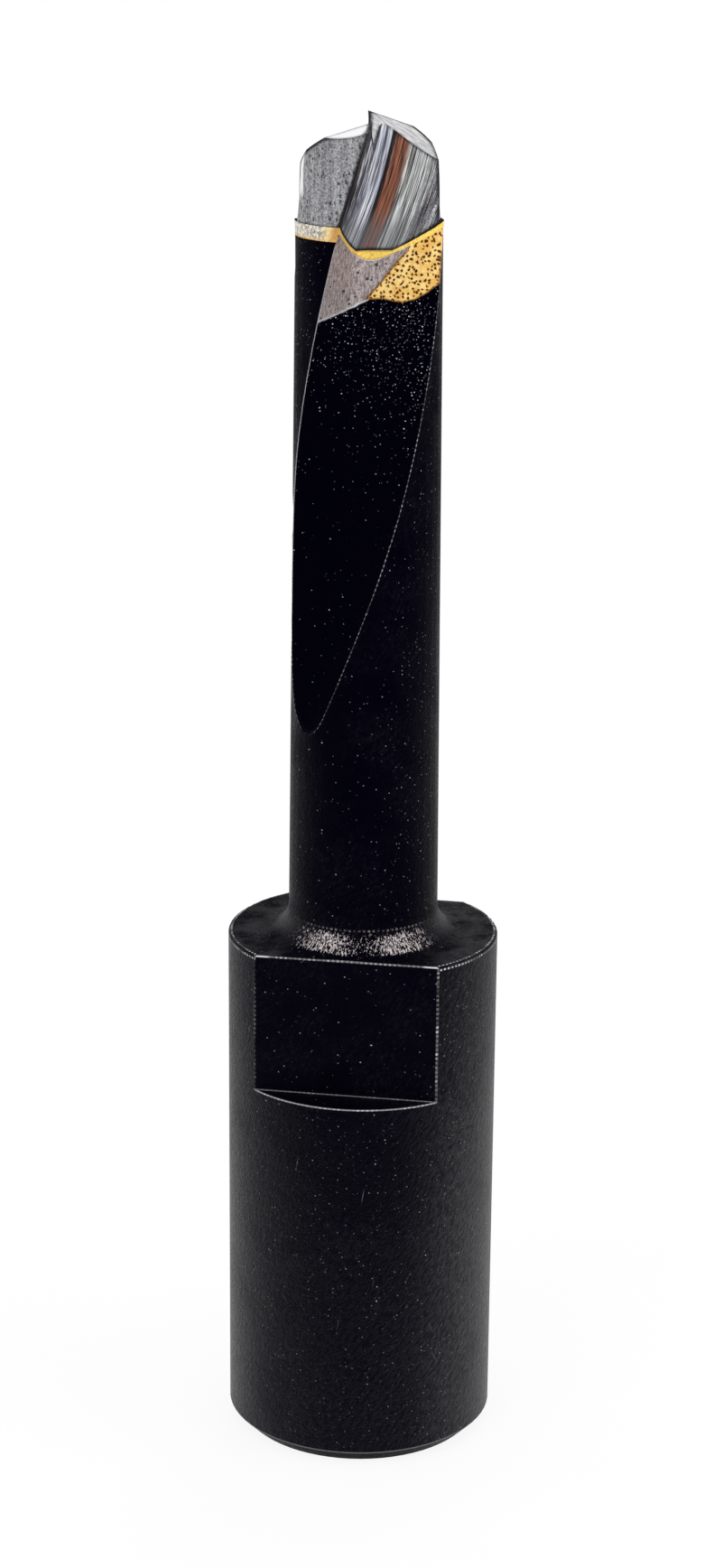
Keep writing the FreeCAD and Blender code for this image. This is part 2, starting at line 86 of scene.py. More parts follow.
class NodeBoard:
    """Places nodes in a tree, so that a finish reads as one formula after another."""

    def __init__(self, tree: bpy.types.NodeTree) -> None:
        """Start on an empty tree.

        Args:
            tree: the tree that gets the nodes.
        """
        self.tree = tree
        self.tree.nodes.clear()

    def place(self, kind: str, inputs: dict | None = None, **settings: object) -> bpy.types.Node:
        """Add a node.

        Args:
            kind: the node's type name.
            inputs: values or sockets for its inputs, by name or number.
            settings: the node's own properties.

        Returns:
            The new node.
        """
        node = self.tree.nodes.new(kind)
        for name, value in settings.items():
            setattr(node, name, value)
        for key, value in (inputs or {}).items():
            if isinstance(value, Socket):
                self.tree.links.new(value, node.inputs[key])
            else:
                node.inputs[key].default_value = value
        return node

    def math(self, operation: str, first: Value, second: Value = 0.0) -> Socket:
        """Return the result of a Math node on one or two values."""
        return self.place("ShaderNodeMath", {0: first, 1: second}, operation=operation).outputs[0]

    def total(self, first: Value, *others: Value) -> Socket:
        """Return the sum of several values."""
        result = first
        for other in others:
            result = self.math("ADD", result, other)
        return result

    def product(self, first: Value, *others: Value) -> Socket:
        """Return the product of several values."""
        result = first
        for other in others:
            result = self.math("MULTIPLY", result, other)
        return result

    def vector(self, operation: str, first: Socket, second: object = None,
               output: int = 0) -> Socket:
        """Return the result of a Vector Math node."""
        inputs = {0: first}
        if second is not None:
            inputs["Scale" if operation == "SCALE" else 1] = second
        return self.place("ShaderNodeVectorMath", inputs, operation=operation).outputs[output]

    def joined(self, x: Value, y: Value, z: Value) -> Socket:
        """Return a vector made of three numbers."""
        return self.place("ShaderNodeCombineXYZ", {0: x, 1: y, 2: z}).outputs[0]

    def rise(self, value: Socket, low: float, high: float) -> Socket:
        """Return a smooth step from 0 at low to 1 at high, or down where low is above high."""
        inputs = {0: value, 1: min(low, high), 2: max(low, high), 3: 0.0, 4: 1.0}
        if low > high:
            inputs.update({3: 1.0, 4: 0.0})
        node = self.place("ShaderNodeMapRange", inputs, interpolation_type="SMOOTHSTEP")
        return node.outputs[0]

    def between(self, value: Socket, low: float, high: float, soft: float) -> Socket:
        """Return 1 where a value lies between two limits, with soft borders."""
        return self.product(self.rise(value, low - soft, low + soft),
                            self.rise(value, high + soft, high - soft))

    def minus(self, first: Value, second: Value) -> Socket:
        """Return the first value less the second."""
        return self.math("SUBTRACT", first, second)

    def scaled(self, value: Socket, factor: float, offset: float) -> Socket:
        """Return a value times a factor plus an offset."""
        return self.total(self.product(value, factor), offset)

    def at_least(self, share: Socket, low: float) -> Socket:
        """Return a share squeezed upwards, so that it starts at a lowest value."""
        return self.scaled(share, 1.0 - low, low)

    def less(self, share: Socket, loss: float) -> Socket:
        """Return 1, lowered by a loss where a share is 1."""
        return self.scaled(share, -loss, 1.0)

    def near(self, value: Value, target: float, reach: float) -> Socket:
        """Return 1 where a value meets a target, and 0 from a reach away on."""
        gap = self.math("ABSOLUTE", self.minus(value, target))
        return self.rise(gap, reach, 0.35 * reach)

    def either(self, first: Value, *others: Value) -> Socket:
        """Return the largest of several values."""
        result = first
        for other in others:
            result = self.math("MAXIMUM", result, other)
        return result

    def parts(self, colour_or_vector: Socket) -> tuple[Socket, Socket, Socket]:
        """Return the three numbers of a vector or a colour."""
        return tuple(self.place("ShaderNodeSeparateXYZ", {0: colour_or_vector}).outputs[:3])

    def noise(self, where: Socket, scale: float, detail: float, roughness: float = 0.5) -> Socket:
        """Return a noise texture's value at a place."""
        return self.place("ShaderNodeTexNoise", {
            "Vector": where, "Scale": scale, "Detail": detail, "Roughness": roughness}).outputs[0]

    def pattern(self, where: Socket, look: Pattern) -> Socket:
        """Return a noise pattern's share at a place."""
        noise = self.noise(where, look.scale, look.detail, look.roughness)
        return self.rise(noise, look.low, look.high)

    def cells(self, where: Socket, scale: float, randomness: float = 1.0) -> bpy.types.Node:
        """Return a Voronoi node that finds the nearest cell's centre on a sheet."""
        return self.place("ShaderNodeTexVoronoi",
                          {"Vector": where, "Scale": scale, "Randomness": randomness},
                          voronoi_dimensions="2D")

    def grains(self, where: Socket, look: Grains, share: Value) -> Socket:
        """Return round grains, one in some of a sheet's uneven cells.

        Args:
            where: the place on the sheet, in millimetres.
            look: the grains' spacing and size.
            share: how many of the cells have a grain, from 0 to 1.

        Returns:
            A socket with each grain's brightness, 0 elsewhere.
        """
        cells = self.cells(where, look.scale)
        spread, bright, chance = self.parts(cells.outputs["Color"])
        kept = self.math("LESS_THAN", chance, share)
        reach = self.scaled(spread, 0.6 * look.size, 0.4 * look.size)
        inside = self.rise(self.minus(cells.outputs["Distance"], reach), 0.03, -0.03)
        own = self.total(self.product(bright, bright, bright, 0.90), 0.08)
        return self.product(kept, inside, own)

    def either_place(self, share: Socket, first: Socket, second: Socket) -> Socket:
        """Return the first place where a share is 0, and the second where it is 1."""
        node = self.place("ShaderNodeMix", {0: share, 4: first, 5: second}, data_type="VECTOR")
        return node.outputs[1]

    def ramp(self, value: Socket, stops: list[tuple[float, Tint]]) -> Socket:
        """Return a colour read off a ramp.

        Args:
            value: where on the ramp to read.
            stops: places from 0 to 1, each with its colour.

        Returns:
            The colour's socket.
        """
        node = self.place("ShaderNodeValToRGB", {0: value})
        bar = node.color_ramp
        while len(bar.elements) < len(stops):
            bar.elements.new(1.0)
        for element, (place, colour) in zip(bar.elements, stops):
            element.position = place
            element.color = (*colour, 1.0)
        return node.outputs[0]

    def blend(self, share: Socket, first: Socket | Tint, second: Socket | Tint) -> Socket:
        """Return two colours mixed by a share."""
        colours = [colour if isinstance(colour, Socket) else (*colour, 1.0)
                   for colour in (first, second)]
        node = self.place("ShaderNodeMix", {0: share, 6: colours[0], 7: colours[1]},
                          data_type="RGBA")
        return node.outputs[2]


@dataclass(frozen=True)
class Body:
    """The bit's own measures, which the finishes follow."""

    boss_radius: float = 11.5
    boss_height: float = 45.0
    boss_wall: Span = (8.6, 9.2)
    flat_distance: float = 8.5
    flat_turn: float = -9.4
    ledge_height: float = 33.0
    stem_foot_radius: float = 6.35
    stem_end_radius: float = 5.95
    seat_rim: float = 104.7
    seat_slope: float = 0.6009
    fillet: float = 2.5
    rim_break: float = 0.25
    foot_chamfer: float = 1.2
    edge_at_seat: float = -23.8
    stem_lead: float = 140.0
    tip_lead: float = 122.5
    flute_width: float = 108.0
    flute_opens: float = 84.0
    flute_foot: float = 58.0


BIT = Body()


class Surface(NodeBoard):
    """A material's board that knows where a shaded point lies on the bit, in millimetres."""

    round_wall: Span = (0.97, 0.99)
    level_face: Span = (0.68, 0.72)
    flute_depth: float = 0.2

    def __init__(self, tree: bpy.types.NodeTree) -> None:
        """Read the object coordinates.

        Args:
            tree: the material's tree.
        """
        super().__init__(tree)
        coordinates = self.place("ShaderNodeTexCoord")
        self.point = self.vector("SCALE", coordinates.outputs["Object"], 1 / MM)
        self.x, self.y, self.z = self.parts(self.point)
        self.normal = coordinates.outputs["Normal"]

    @cached_property
    def from_axis(self) -> Socket:
        """The point's place seen along the axis."""
        return self.joined(self.x, self.y, 0.0)

    @cached_property
    def radius(self) -> Socket:
        """The distance from the axis."""
        return self.vector("LENGTH", self.from_axis, output=1)

    @cached_property
    def angle(self) -> Socket:
        """The angle round the axis from the front."""
        return self.math("ARCTAN2", self.x, self.product(self.y, -1.0))

    @cached_property
    def upward(self) -> Socket:
        """How far the surface faces up, from -1 to 1."""
        return self.parts(self.normal)[2]

    @cached_property
    def outward(self) -> Socket:
        """How far the surface faces straight away from the axis, up to 1."""
        radial = self.vector("NORMALIZE", self.from_axis)
        return self.vector("DOT_PRODUCT", radial, self.normal, output=1)

    @cached_property
    def on_round(self) -> Socket:
        """1 on the turned walls, which face straight away from the axis."""
        return self.rise(self.outward, *self.round_wall)

    @cached_property
    def on_boss(self) -> Socket:
        """1 on the boss, outside the root fillet."""
        return self.rise(self.radius, *BIT.boss_wall)

    @cached_property
    def depth_in_stem(self) -> Socket:
        """How far the point lies under the stem's slightly tapered round."""
        taper = (BIT.stem_end_radius - BIT.stem_foot_radius) / (BIT.seat_rim - BIT.boss_height)
        foot = BIT.stem_foot_radius - taper * BIT.boss_height
        wanted = self.scaled(self.z, taper, foot)
        return self.minus(wanted, self.radius)

    @cached_property
    def round_length(self) -> Socket:
        """The length round the bit, as on an unrolled sheet."""
        on_boss = self.math("GREATER_THAN", self.radius, BIT.stem_foot_radius + BIT.fillet)
        more = self.product(on_boss, BIT.boss_radius - BIT.stem_foot_radius)
        return self.product(self.angle, self.total(more, BIT.stem_foot_radius))

    @cached_property
    def flat_frame(self) -> tuple[Socket, Socket]:
        """How far the point lies along the nearest spanner flat, and out towards it."""
        turned = self.place(
            "ShaderNodeVectorRotate", {"Vector": self.point, "Angle": -math.radians(BIT.flat_turn)},
            rotation_type="Z_AXIS").outputs[0]
        along, out, _ = self.parts(turned)
        side = self.math("SIGN", out)
        return self.product(along, side, -1.0), self.product(out, side)

    @cached_property
    def sheet(self) -> Socket:
        """The point on a flat sheet.

        Round walls are unrolled, what faces up or down is seen along the axis, and
        the stem's flutes are seen from the side that they open to.
        """
        wall = self.joined(self.round_length, self.z, 0.0)
        level = self.rise(self.math("ABSOLUTE", self.upward), *self.level_face)
        fluted = self.rise(self.z, BIT.flute_foot - 1.0, BIT.flute_foot)
        flute = self.math(
            "GREATER_THAN", self.product(self.depth_in_stem, fluted), self.flute_depth)
        place = self.either_place(level, wall, self.from_axis)
        return self.either_place(flute, place, self.from_front(BIT.stem_lead))

    def flute_frame(self, lead: float) -> Socket:
        """Return the point turned back along the flutes, with a cutting edge at the front."""
        above = self.minus(self.z, BIT.seat_rim)
        turn = self.total(self.product(above, 2 * math.pi / lead), math.radians(BIT.edge_at_seat))
        node = self.place(
            "ShaderNodeVectorRotate", {"Vector": self.point, "Angle": self.product(turn, -1.0)},
            rotation_type="Z_AXIS")
        return node.outputs[0]

    def side(self, lead: float, middle: float) -> Socket:
        """Return 1 round a middle angle from the front cutting edge, and -1 opposite."""
        turn = math.radians(middle)
        towards = (math.sin(turn), -math.cos(turn), 0.0)
        share = self.vector("DOT_PRODUCT", self.flute_frame(lead), towards, output=1)
        return self.math("SIGN", share)

    def flute_side(self, lead: float) -> Socket:
        """Return 1 in the front flute and -1 in the back one, also past the axis."""
        return self.side(lead, BIT.flute_opens)

    def tooth_side(self, lead: float) -> Socket:
        """Return 1 on the front tooth and -1 on the back one."""
        return self.side(lead, BIT.flute_width / 2 - 90.0)

    def from_front(self, lead: float) -> Socket:
        """Return the point as seen straight from the side that its flute opens to."""
        return self.joined(self.product(self.x, self.flute_side(lead)), self.z, 0.0)

    def worn_edges(self, reach: float, samples: int = 6) -> Socket:
        """Return how near an edge the point is, from the edge's rounded normal.

        Args:
            reach: how far from the edge the mask goes, in millimetres.
            samples: rays for each look.

        Returns:
            A socket that is 0 on open surfaces and rises on edges.
        """
        rounded = self.place("ShaderNodeBevel", {"Radius": reach * MM}, samples=samples)
        flat = self.place("ShaderNodeNewGeometry").outputs["Normal"]
        same = self.vector("DOT_PRODUCT", rounded.outputs[0], flat, output=1)
        return self.minus(1.0, same)


@dataclass(frozen=True)
class Finish:
    """A finish that shades a surface and gives it a fine relief, in millimetres."""

    name: str
    relief_height: float

    def shade(self, at: Surface) -> tuple[dict, Socket]:
        """Return the shader's inputs by name, and the relief as a share."""
        raise NotImplementedError

    def material(self) -> bpy.types.Material:
        """Return the finish as a material."""
        made = bpy.data.materials.new(self.name)
        made.use_nodes = True
        at = Surface(made.node_tree)
        inputs, relief = self.shade(at)
        shader = at.place("ShaderNodeBsdfPrincipled", inputs)
        bump = at.place("ShaderNodeBump", {
            "Strength": 1.0, "Distance": self.relief_height * MM, "Height": relief})
        at.tree.links.new(bump.outputs[0], shader.inputs["Normal"])
        at.place("ShaderNodeOutputMaterial", {0: shader.outputs[0]})
        return made


@dataclass(frozen=True)
class Rubbing:
    """The bright lines on the boss's edges, rubbed wear with painted highlight, and the dots that
    they break into.
    """

    line: float = 0.11
    touch: float = 0.02
    beside: float = 0.05
    under_rim: float = 0.03
    dot_pitch: float = 0.40
    dot_wave: Span = (-0.4, 0.5)
    dot_gaps: Pattern = Pattern(0.9, 3.0, 0.7, 0.42, 0.60)
    faintest_dot: float = 0.15
    rim_gap: float = 0.05
    rim_share: float = 0.85
    top_gap: float = 0.25
    top_share: float = 0.7
    solid_corner: Span = (1.6, 0.9)
    upright_gap: float = 0.08
    upright_patches: Pattern = Pattern(0.42, 2.0, 0.5, 0.40, 0.58)
    faintest_patch: float = 0.25
    right_over_left: float = 0.40
    upright_share: float = 0.52
    seat_gap: float = 0.45
    seat_share: float = 0.55
    lip_gap: float = 0.40
    foot_share: float = 0.22

    def dotted(self, at: Surface, along: Socket, gap: float) -> Socket:
        """Return a row of dots along a length, with gaps that go down to a value."""
        wave = at.math("SINE", at.product(along, 2 * math.pi / self.dot_pitch))
        uneven = at.at_least(at.pattern(at.point, self.dot_gaps), self.faintest_dot)
        dots = at.product(at.rise(wave, *self.dot_wave), uneven)
        return at.at_least(dots, gap)

    def rim(self, at: Surface, round_part: Socket) -> Socket:
        """Return the dotted line round the boss's top rim."""
        inner = BIT.boss_radius - BIT.rim_break - self.touch
        lower = BIT.boss_height - BIT.rim_break - self.under_rim
        on_top = at.product(
            at.near(at.radius, inner, self.line),
            at.rise(at.z, BIT.boss_height - self.beside, BIT.boss_height - self.touch))
        on_wall = at.product(
            at.near(at.z, lower, self.line),
            at.rise(at.radius, BIT.boss_radius - self.beside, BIT.boss_radius - self.touch))
        return at.product(at.either(on_top, on_wall), round_part,
                          self.dotted(at, at.round_length, self.rim_gap), self.rim_share)

    def flat_top(self, at: Surface, corner: float, on_flat: Socket) -> Socket:
        """Return the line along a flat's top edge, solid at its corners."""
        along, _ = at.flat_frame
        edge = at.product(on_flat, at.near(at.z, BIT.boss_height, 1.4 * self.line))
        solid_from, solid_to = self.solid_corner
        solid = at.rise(at.math("ABSOLUTE", along), corner - solid_from, corner - solid_to)
        dots = at.product(self.dotted(at, along, self.top_gap), self.top_share)
        return at.product(edge, at.either(solid, dots))

    def uprights(self, at: Surface, corner: float, on_flat: Socket) -> Socket:
        """Return the patchy lines down a flat's two sides, the right one brighter as painted light.
        """
        along, _ = at.flat_frame
        low = BIT.ledge_height
        both = at.product(
            at.near(at.math("ABSOLUTE", along), corner, 1.3 * self.line), on_flat,
            at.rise(at.z, low - 2 * self.beside, low),
            self.dotted(at, at.z, self.upright_gap))
        patchy = at.at_least(at.pattern(at.point, self.upright_patches), self.faintest_patch)
        # painted light: the right upright is brighter than the left one
        right = at.product(at.math("SIGN", along), self.right_over_left)
        return at.product(both, patchy, at.total(right, self.upright_share))

    def ledge(self, at: Surface, on_flat: Socket) -> tuple[Socket, Socket]:
        """Return the line where a flat meets its ledge, and the one on the ledge's lip."""
        along, out = at.flat_frame
        low = BIT.ledge_height
        seat = at.product(
            at.near(at.z, low, 0.8 * self.line), on_flat,
            self.dotted(at, along, self.seat_gap), self.seat_share)
        lip = at.product(
            at.near(at.z, low, 1.2 * self.line),
            at.near(at.radius, BIT.boss_radius, 1.2 * self.line),
            at.rise(out, BIT.flat_distance, BIT.flat_distance + 2 * self.beside),
            self.dotted(at, at.round_length, self.lip_gap))
        return seat, lip

    def lines(self, at: Surface) -> Socket:
        """Return all the bright lines on the boss's rim, its flats and its foot: rubbed wear with
        painted highlight.
        """
        along, out = at.flat_frame
        corner = math.sqrt(BIT.boss_radius ** 2 - BIT.flat_distance ** 2)
        off_flat = at.rise(out, BIT.flat_distance + self.touch, BIT.flat_distance - self.touch)
        round_part = at.rise(at.math("ABSOLUTE", along), corner - 0.3, corner)
        on_flat = at.near(out, BIT.flat_distance, 1.2 * self.line)
        wall = BIT.boss_radius - self.beside
        foot = at.product(
            at.near(at.z, BIT.foot_chamfer, 0.9 * self.line),
            at.rise(at.radius, wall - self.beside, wall), self.foot_share)
        above = at.either(self.rim(at, round_part),
                          self.flat_top(at, corner, on_flat),
                          self.uprights(at, corner, on_flat))
        above = at.product(above, at.either(off_flat, on_flat, round_part))
        return at.either(above, *self.ledge(at, on_flat), foot)


@dataclass(frozen=True)
class Glints:
    """The grains that catch the light, most of them in the flute below the joint."""

    sparse: Grains = Grains(1.35, 0.07)
    sparse_crowd: Pattern = Pattern(0.11, 1.0, 0.5, 0.38, 0.72)
    sparse_share: float = 0.03
    sparse_more: float = 0.10
    dust: Grains = Grains(2.7, 0.14)
    dust_share: float = 0.07
    dust_bright: float = 0.45
    wall_share: float = 0.14
    wall_more: float = 0.22
    wall_right: Span = (2.0, 9.0)
    stem_right: Span = (0.0, 4.0)
    stem_inside: Span = (8.6, 8.0)
    stem_share: float = 0.16
    dense: Grains = Grains(3.9, 0.22)
    dense_crowd: Pattern = Pattern(0.7, 2.0, 0.5, 0.36, 0.62)
    dense_share: float = 0.46
    dense_more: float = 0.32
    dense_slope: float = 0.8
    dense_rise: Span = (84.0, 102.0)
    limb_rise: Span = (86.0, 97.0)
    limb_across: Span = (3.0, 5.0)
    limb_share: float = 0.22
    in_flute: Span = (0.05, 0.2)
    outside_bright: float = 0.55

    def brightness(self, at: Surface) -> Socket:
        """Return the brightness of all the grains, 0 between them."""
        crowd = at.product(at.pattern(at.point, self.sparse_crowd), self.sparse_more)
        sparse = at.grains(at.sheet, self.sparse, at.total(crowd, self.sparse_share))
        return at.either(sparse, at.product(self.dusting(at), self.dust_bright),
                         self.below_joint(at))

    def dusting(self, at: Surface) -> Socket:
        """Return fine painted glints, more of them on the right of the boss and of the stem."""
        wall = at.product(at.on_boss, at.on_round)
        handled = at.total(
            at.product(at.rise(at.x, *self.wall_right), self.wall_more), self.wall_share)
        stem = at.product(at.rise(at.x, *self.stem_right),
                          at.rise(at.radius, *self.stem_inside), self.stem_share)
        # painted glints: more of them on the right, the lit side
        share = at.total(at.product(wall, handled), stem, self.dust_share)
        return at.grains(at.sheet, self.dust, share)

    def below_joint(self, at: Surface) -> Socket:
        """Return the crowded grains in the flutes below the tip."""
        side = at.flute_side(BIT.stem_lead)
        slant = at.total(at.z, at.product(at.x, side, self.dense_slope))
        flute = at.product(at.rise(slant, *self.dense_rise),
                           at.rise(at.depth_in_stem, *self.in_flute))
        limb = at.product(at.rise(at.z, *self.limb_rise),
                          at.rise(at.product(at.x, side), *self.limb_across),
                          self.limb_share)
        crowd = at.product(at.pattern(at.point, self.dense_crowd), self.dense_more)
        share = at.product(at.either(flute, limb), at.total(crowd, self.dense_share))
        inside = at.at_least(at.rise(at.depth_in_stem, *self.in_flute), self.outside_bright)
        return at.product(at.grains(at.sheet, self.dense, share), inside)


@dataclass(frozen=True)
class FilletRub:
    """The crowded flecks where the root fillet turns from the stem to the boss: rubbed flecks with
    a painted highlight, brightest at the front left and front right.
    """

    foot: Span = (0.05, 0.35)
    head: Span = (2.3, 1.3)
    left_middle: float = -36.0
    right_middle: float = 34.0
    side_reach: float = 34.0
    ahead_reach: float = 72.0
    side_share: float = 0.34
    ahead_share: float = 0.66
    fleck_girth: float = 9.0
    fleck_height: float = 4.6
    fleck_level: float = 0.74
    fleck_give: float = 0.25
    fleck_edge: Span = (-0.01, 0.07)
    fleck_dull: float = 0.2
    fleck_more: float = 0.7
    ring_height: float = 1.95
    ring_share: float = 0.24

    def flecks(self, at: Surface, rubbing: Rubbing) -> Socket:
        """Return the flecks, partly painted highlight, and the faint dotted ring above them."""
        band = at.product(
            at.rise(at.z, *(BIT.boss_height + edge for edge in self.foot)),
            at.rise(at.z, *(BIT.boss_height + edge for edge in self.head)))
        reach = math.radians(self.side_reach)
        # painted highlight: the flecks crowd at the front left and front right, where the lamps
        # shine on the fillet
        left = at.near(at.angle, math.radians(self.left_middle), reach)
        right = at.near(at.angle, math.radians(self.right_middle), reach)
        ahead = at.near(at.angle, 0.0, math.radians(self.ahead_reach))
        crowd = at.total(at.product(at.either(left, right), self.side_share),
                         at.product(ahead, self.ahead_share))
        crowd = at.product(band, crowd)
        where = at.joined(at.product(at.round_length, self.fleck_girth),
                          at.product(at.z, self.fleck_height), at.radius)
        bar = at.minus(self.fleck_level, at.product(crowd, self.fleck_give))
        over = at.minus(at.noise(where, 1.0, 2.0, 0.8), bar)
        bright = at.scaled(crowd, self.fleck_more, self.fleck_dull)
        spots = at.product(at.rise(over, *self.fleck_edge), bright)
        ring = at.product(
            at.near(at.z, BIT.boss_height + self.ring_height, rubbing.line), ahead,
            rubbing.dotted(at, at.round_length, 0.0), self.ring_share)
        return at.either(spots, ring)


@dataclass(frozen=True)
class BareSteel:
    """The patch of the front flute that was ground bare with the tip."""

    light: Tint = (0.50, 0.43, 0.43)
    dark: Tint = (0.24, 0.20, 0.20)
    pit: Tint = (0.02, 0.018, 0.02)
    tilt: float = 0.145
    left_end: float = -3.81
    left_height: float = 96.93
    climb: float = 0.40
    curve: float = 0.015
    ragged: float = 0.25
    border: Span = (-0.05, 0.05)
    hem_middle: float = 0.06
    hem_reach: float = 0.14
    in_flute: Span = (0.15, 0.30)
    off_round: Span = (0.86, 0.80)
    stretch: Triple = (6.0, 6.0, 1.6)
    ground: Pattern = Pattern(1.0, 3.0, 0.75, 0.40, 0.60)
    holes: Grains = Grains(1.6, 0.22)
    holes_share: float = 0.34
    hole_edge: Span = (0.03, 0.12)
    fine: Pattern = Pattern(6.5, 2.0, 0.6, 0.58, 0.66)
    fine_share: float = 0.62
    pit_share: float = 0.85

    def patch(self, at: Surface) -> tuple[Socket, Socket]:
        """Return where the steel is bare, and that patch's pale hem."""
        side = at.flute_side(BIT.stem_lead)
        across = at.product(at.x, side)
        seen = at.total(at.z, at.product(at.y, side, self.tilt))
        from_left = at.total(across, -self.left_end)
        border = at.total(at.product(from_left, self.climb),
                          at.product(from_left, from_left, self.curve), self.left_height)
        wander = at.minus(at.noise(at.point, 1.6, 3.0), 0.5)
        above = at.total(at.minus(seen, border), at.product(wander, self.ragged))
        inside = at.either(at.rise(at.depth_in_stem, *self.in_flute),
                           at.rise(at.outward, *self.off_round))
        hem = at.product(at.near(above, self.hem_middle, self.hem_reach), inside)
        return at.product(at.rise(above, *self.border), inside), hem

    def look(self, at: Surface) -> tuple[Socket, Socket]:
        """Return the bare steel's colour and its pits."""
        drawn = at.vector("MULTIPLY", at.flute_frame(BIT.stem_lead), self.stretch)
        colour = at.blend(at.pattern(drawn, self.ground), self.dark, self.light)
        holes = at.grains(at.sheet, self.holes, self.holes_share)
        fine = at.product(at.pattern(at.point, self.fine), self.fine_share)
        pits = at.either(at.rise(holes, *self.hole_edge), fine)
        return at.blend(at.product(pits, self.pit_share), colour, self.pit), pits


@dataclass(frozen=True)
class Scratches:
    """Sparse fine scratches that lean from the upright by an angle."""

    lean: float
    share: float
    spacing: float = 0.85
    length: float = 0.045
    thinnest: float = 0.006
    thicker: float = 0.035
    faintest: float = 0.3
    edge: Span = (0.006, -0.030)

    def marks(self, at: Surface) -> Socket:
        """Return the scratches, each with a brightness of its own."""
        cosine, sine = math.cos(math.radians(self.lean)), math.sin(math.radians(self.lean))
        across = at.total(at.product(at.round_length, cosine), at.product(at.z, sine))
        along = at.total(at.product(at.round_length, sine), at.product(at.z, -cosine))
        sheet = at.joined(at.product(across, self.spacing), at.product(along, self.length), 0.0)
        cells = at.cells(sheet, 1.0)
        spread, bright, chance = at.parts(cells.outputs["Color"])
        kept = at.math("LESS_THAN", chance, self.share)
        reach = at.scaled(spread, self.thicker, self.thinnest)
        inside = at.rise(at.minus(cells.outputs["Distance"], reach), *self.edge)
        return at.product(kept, inside, at.at_least(bright, self.faintest))


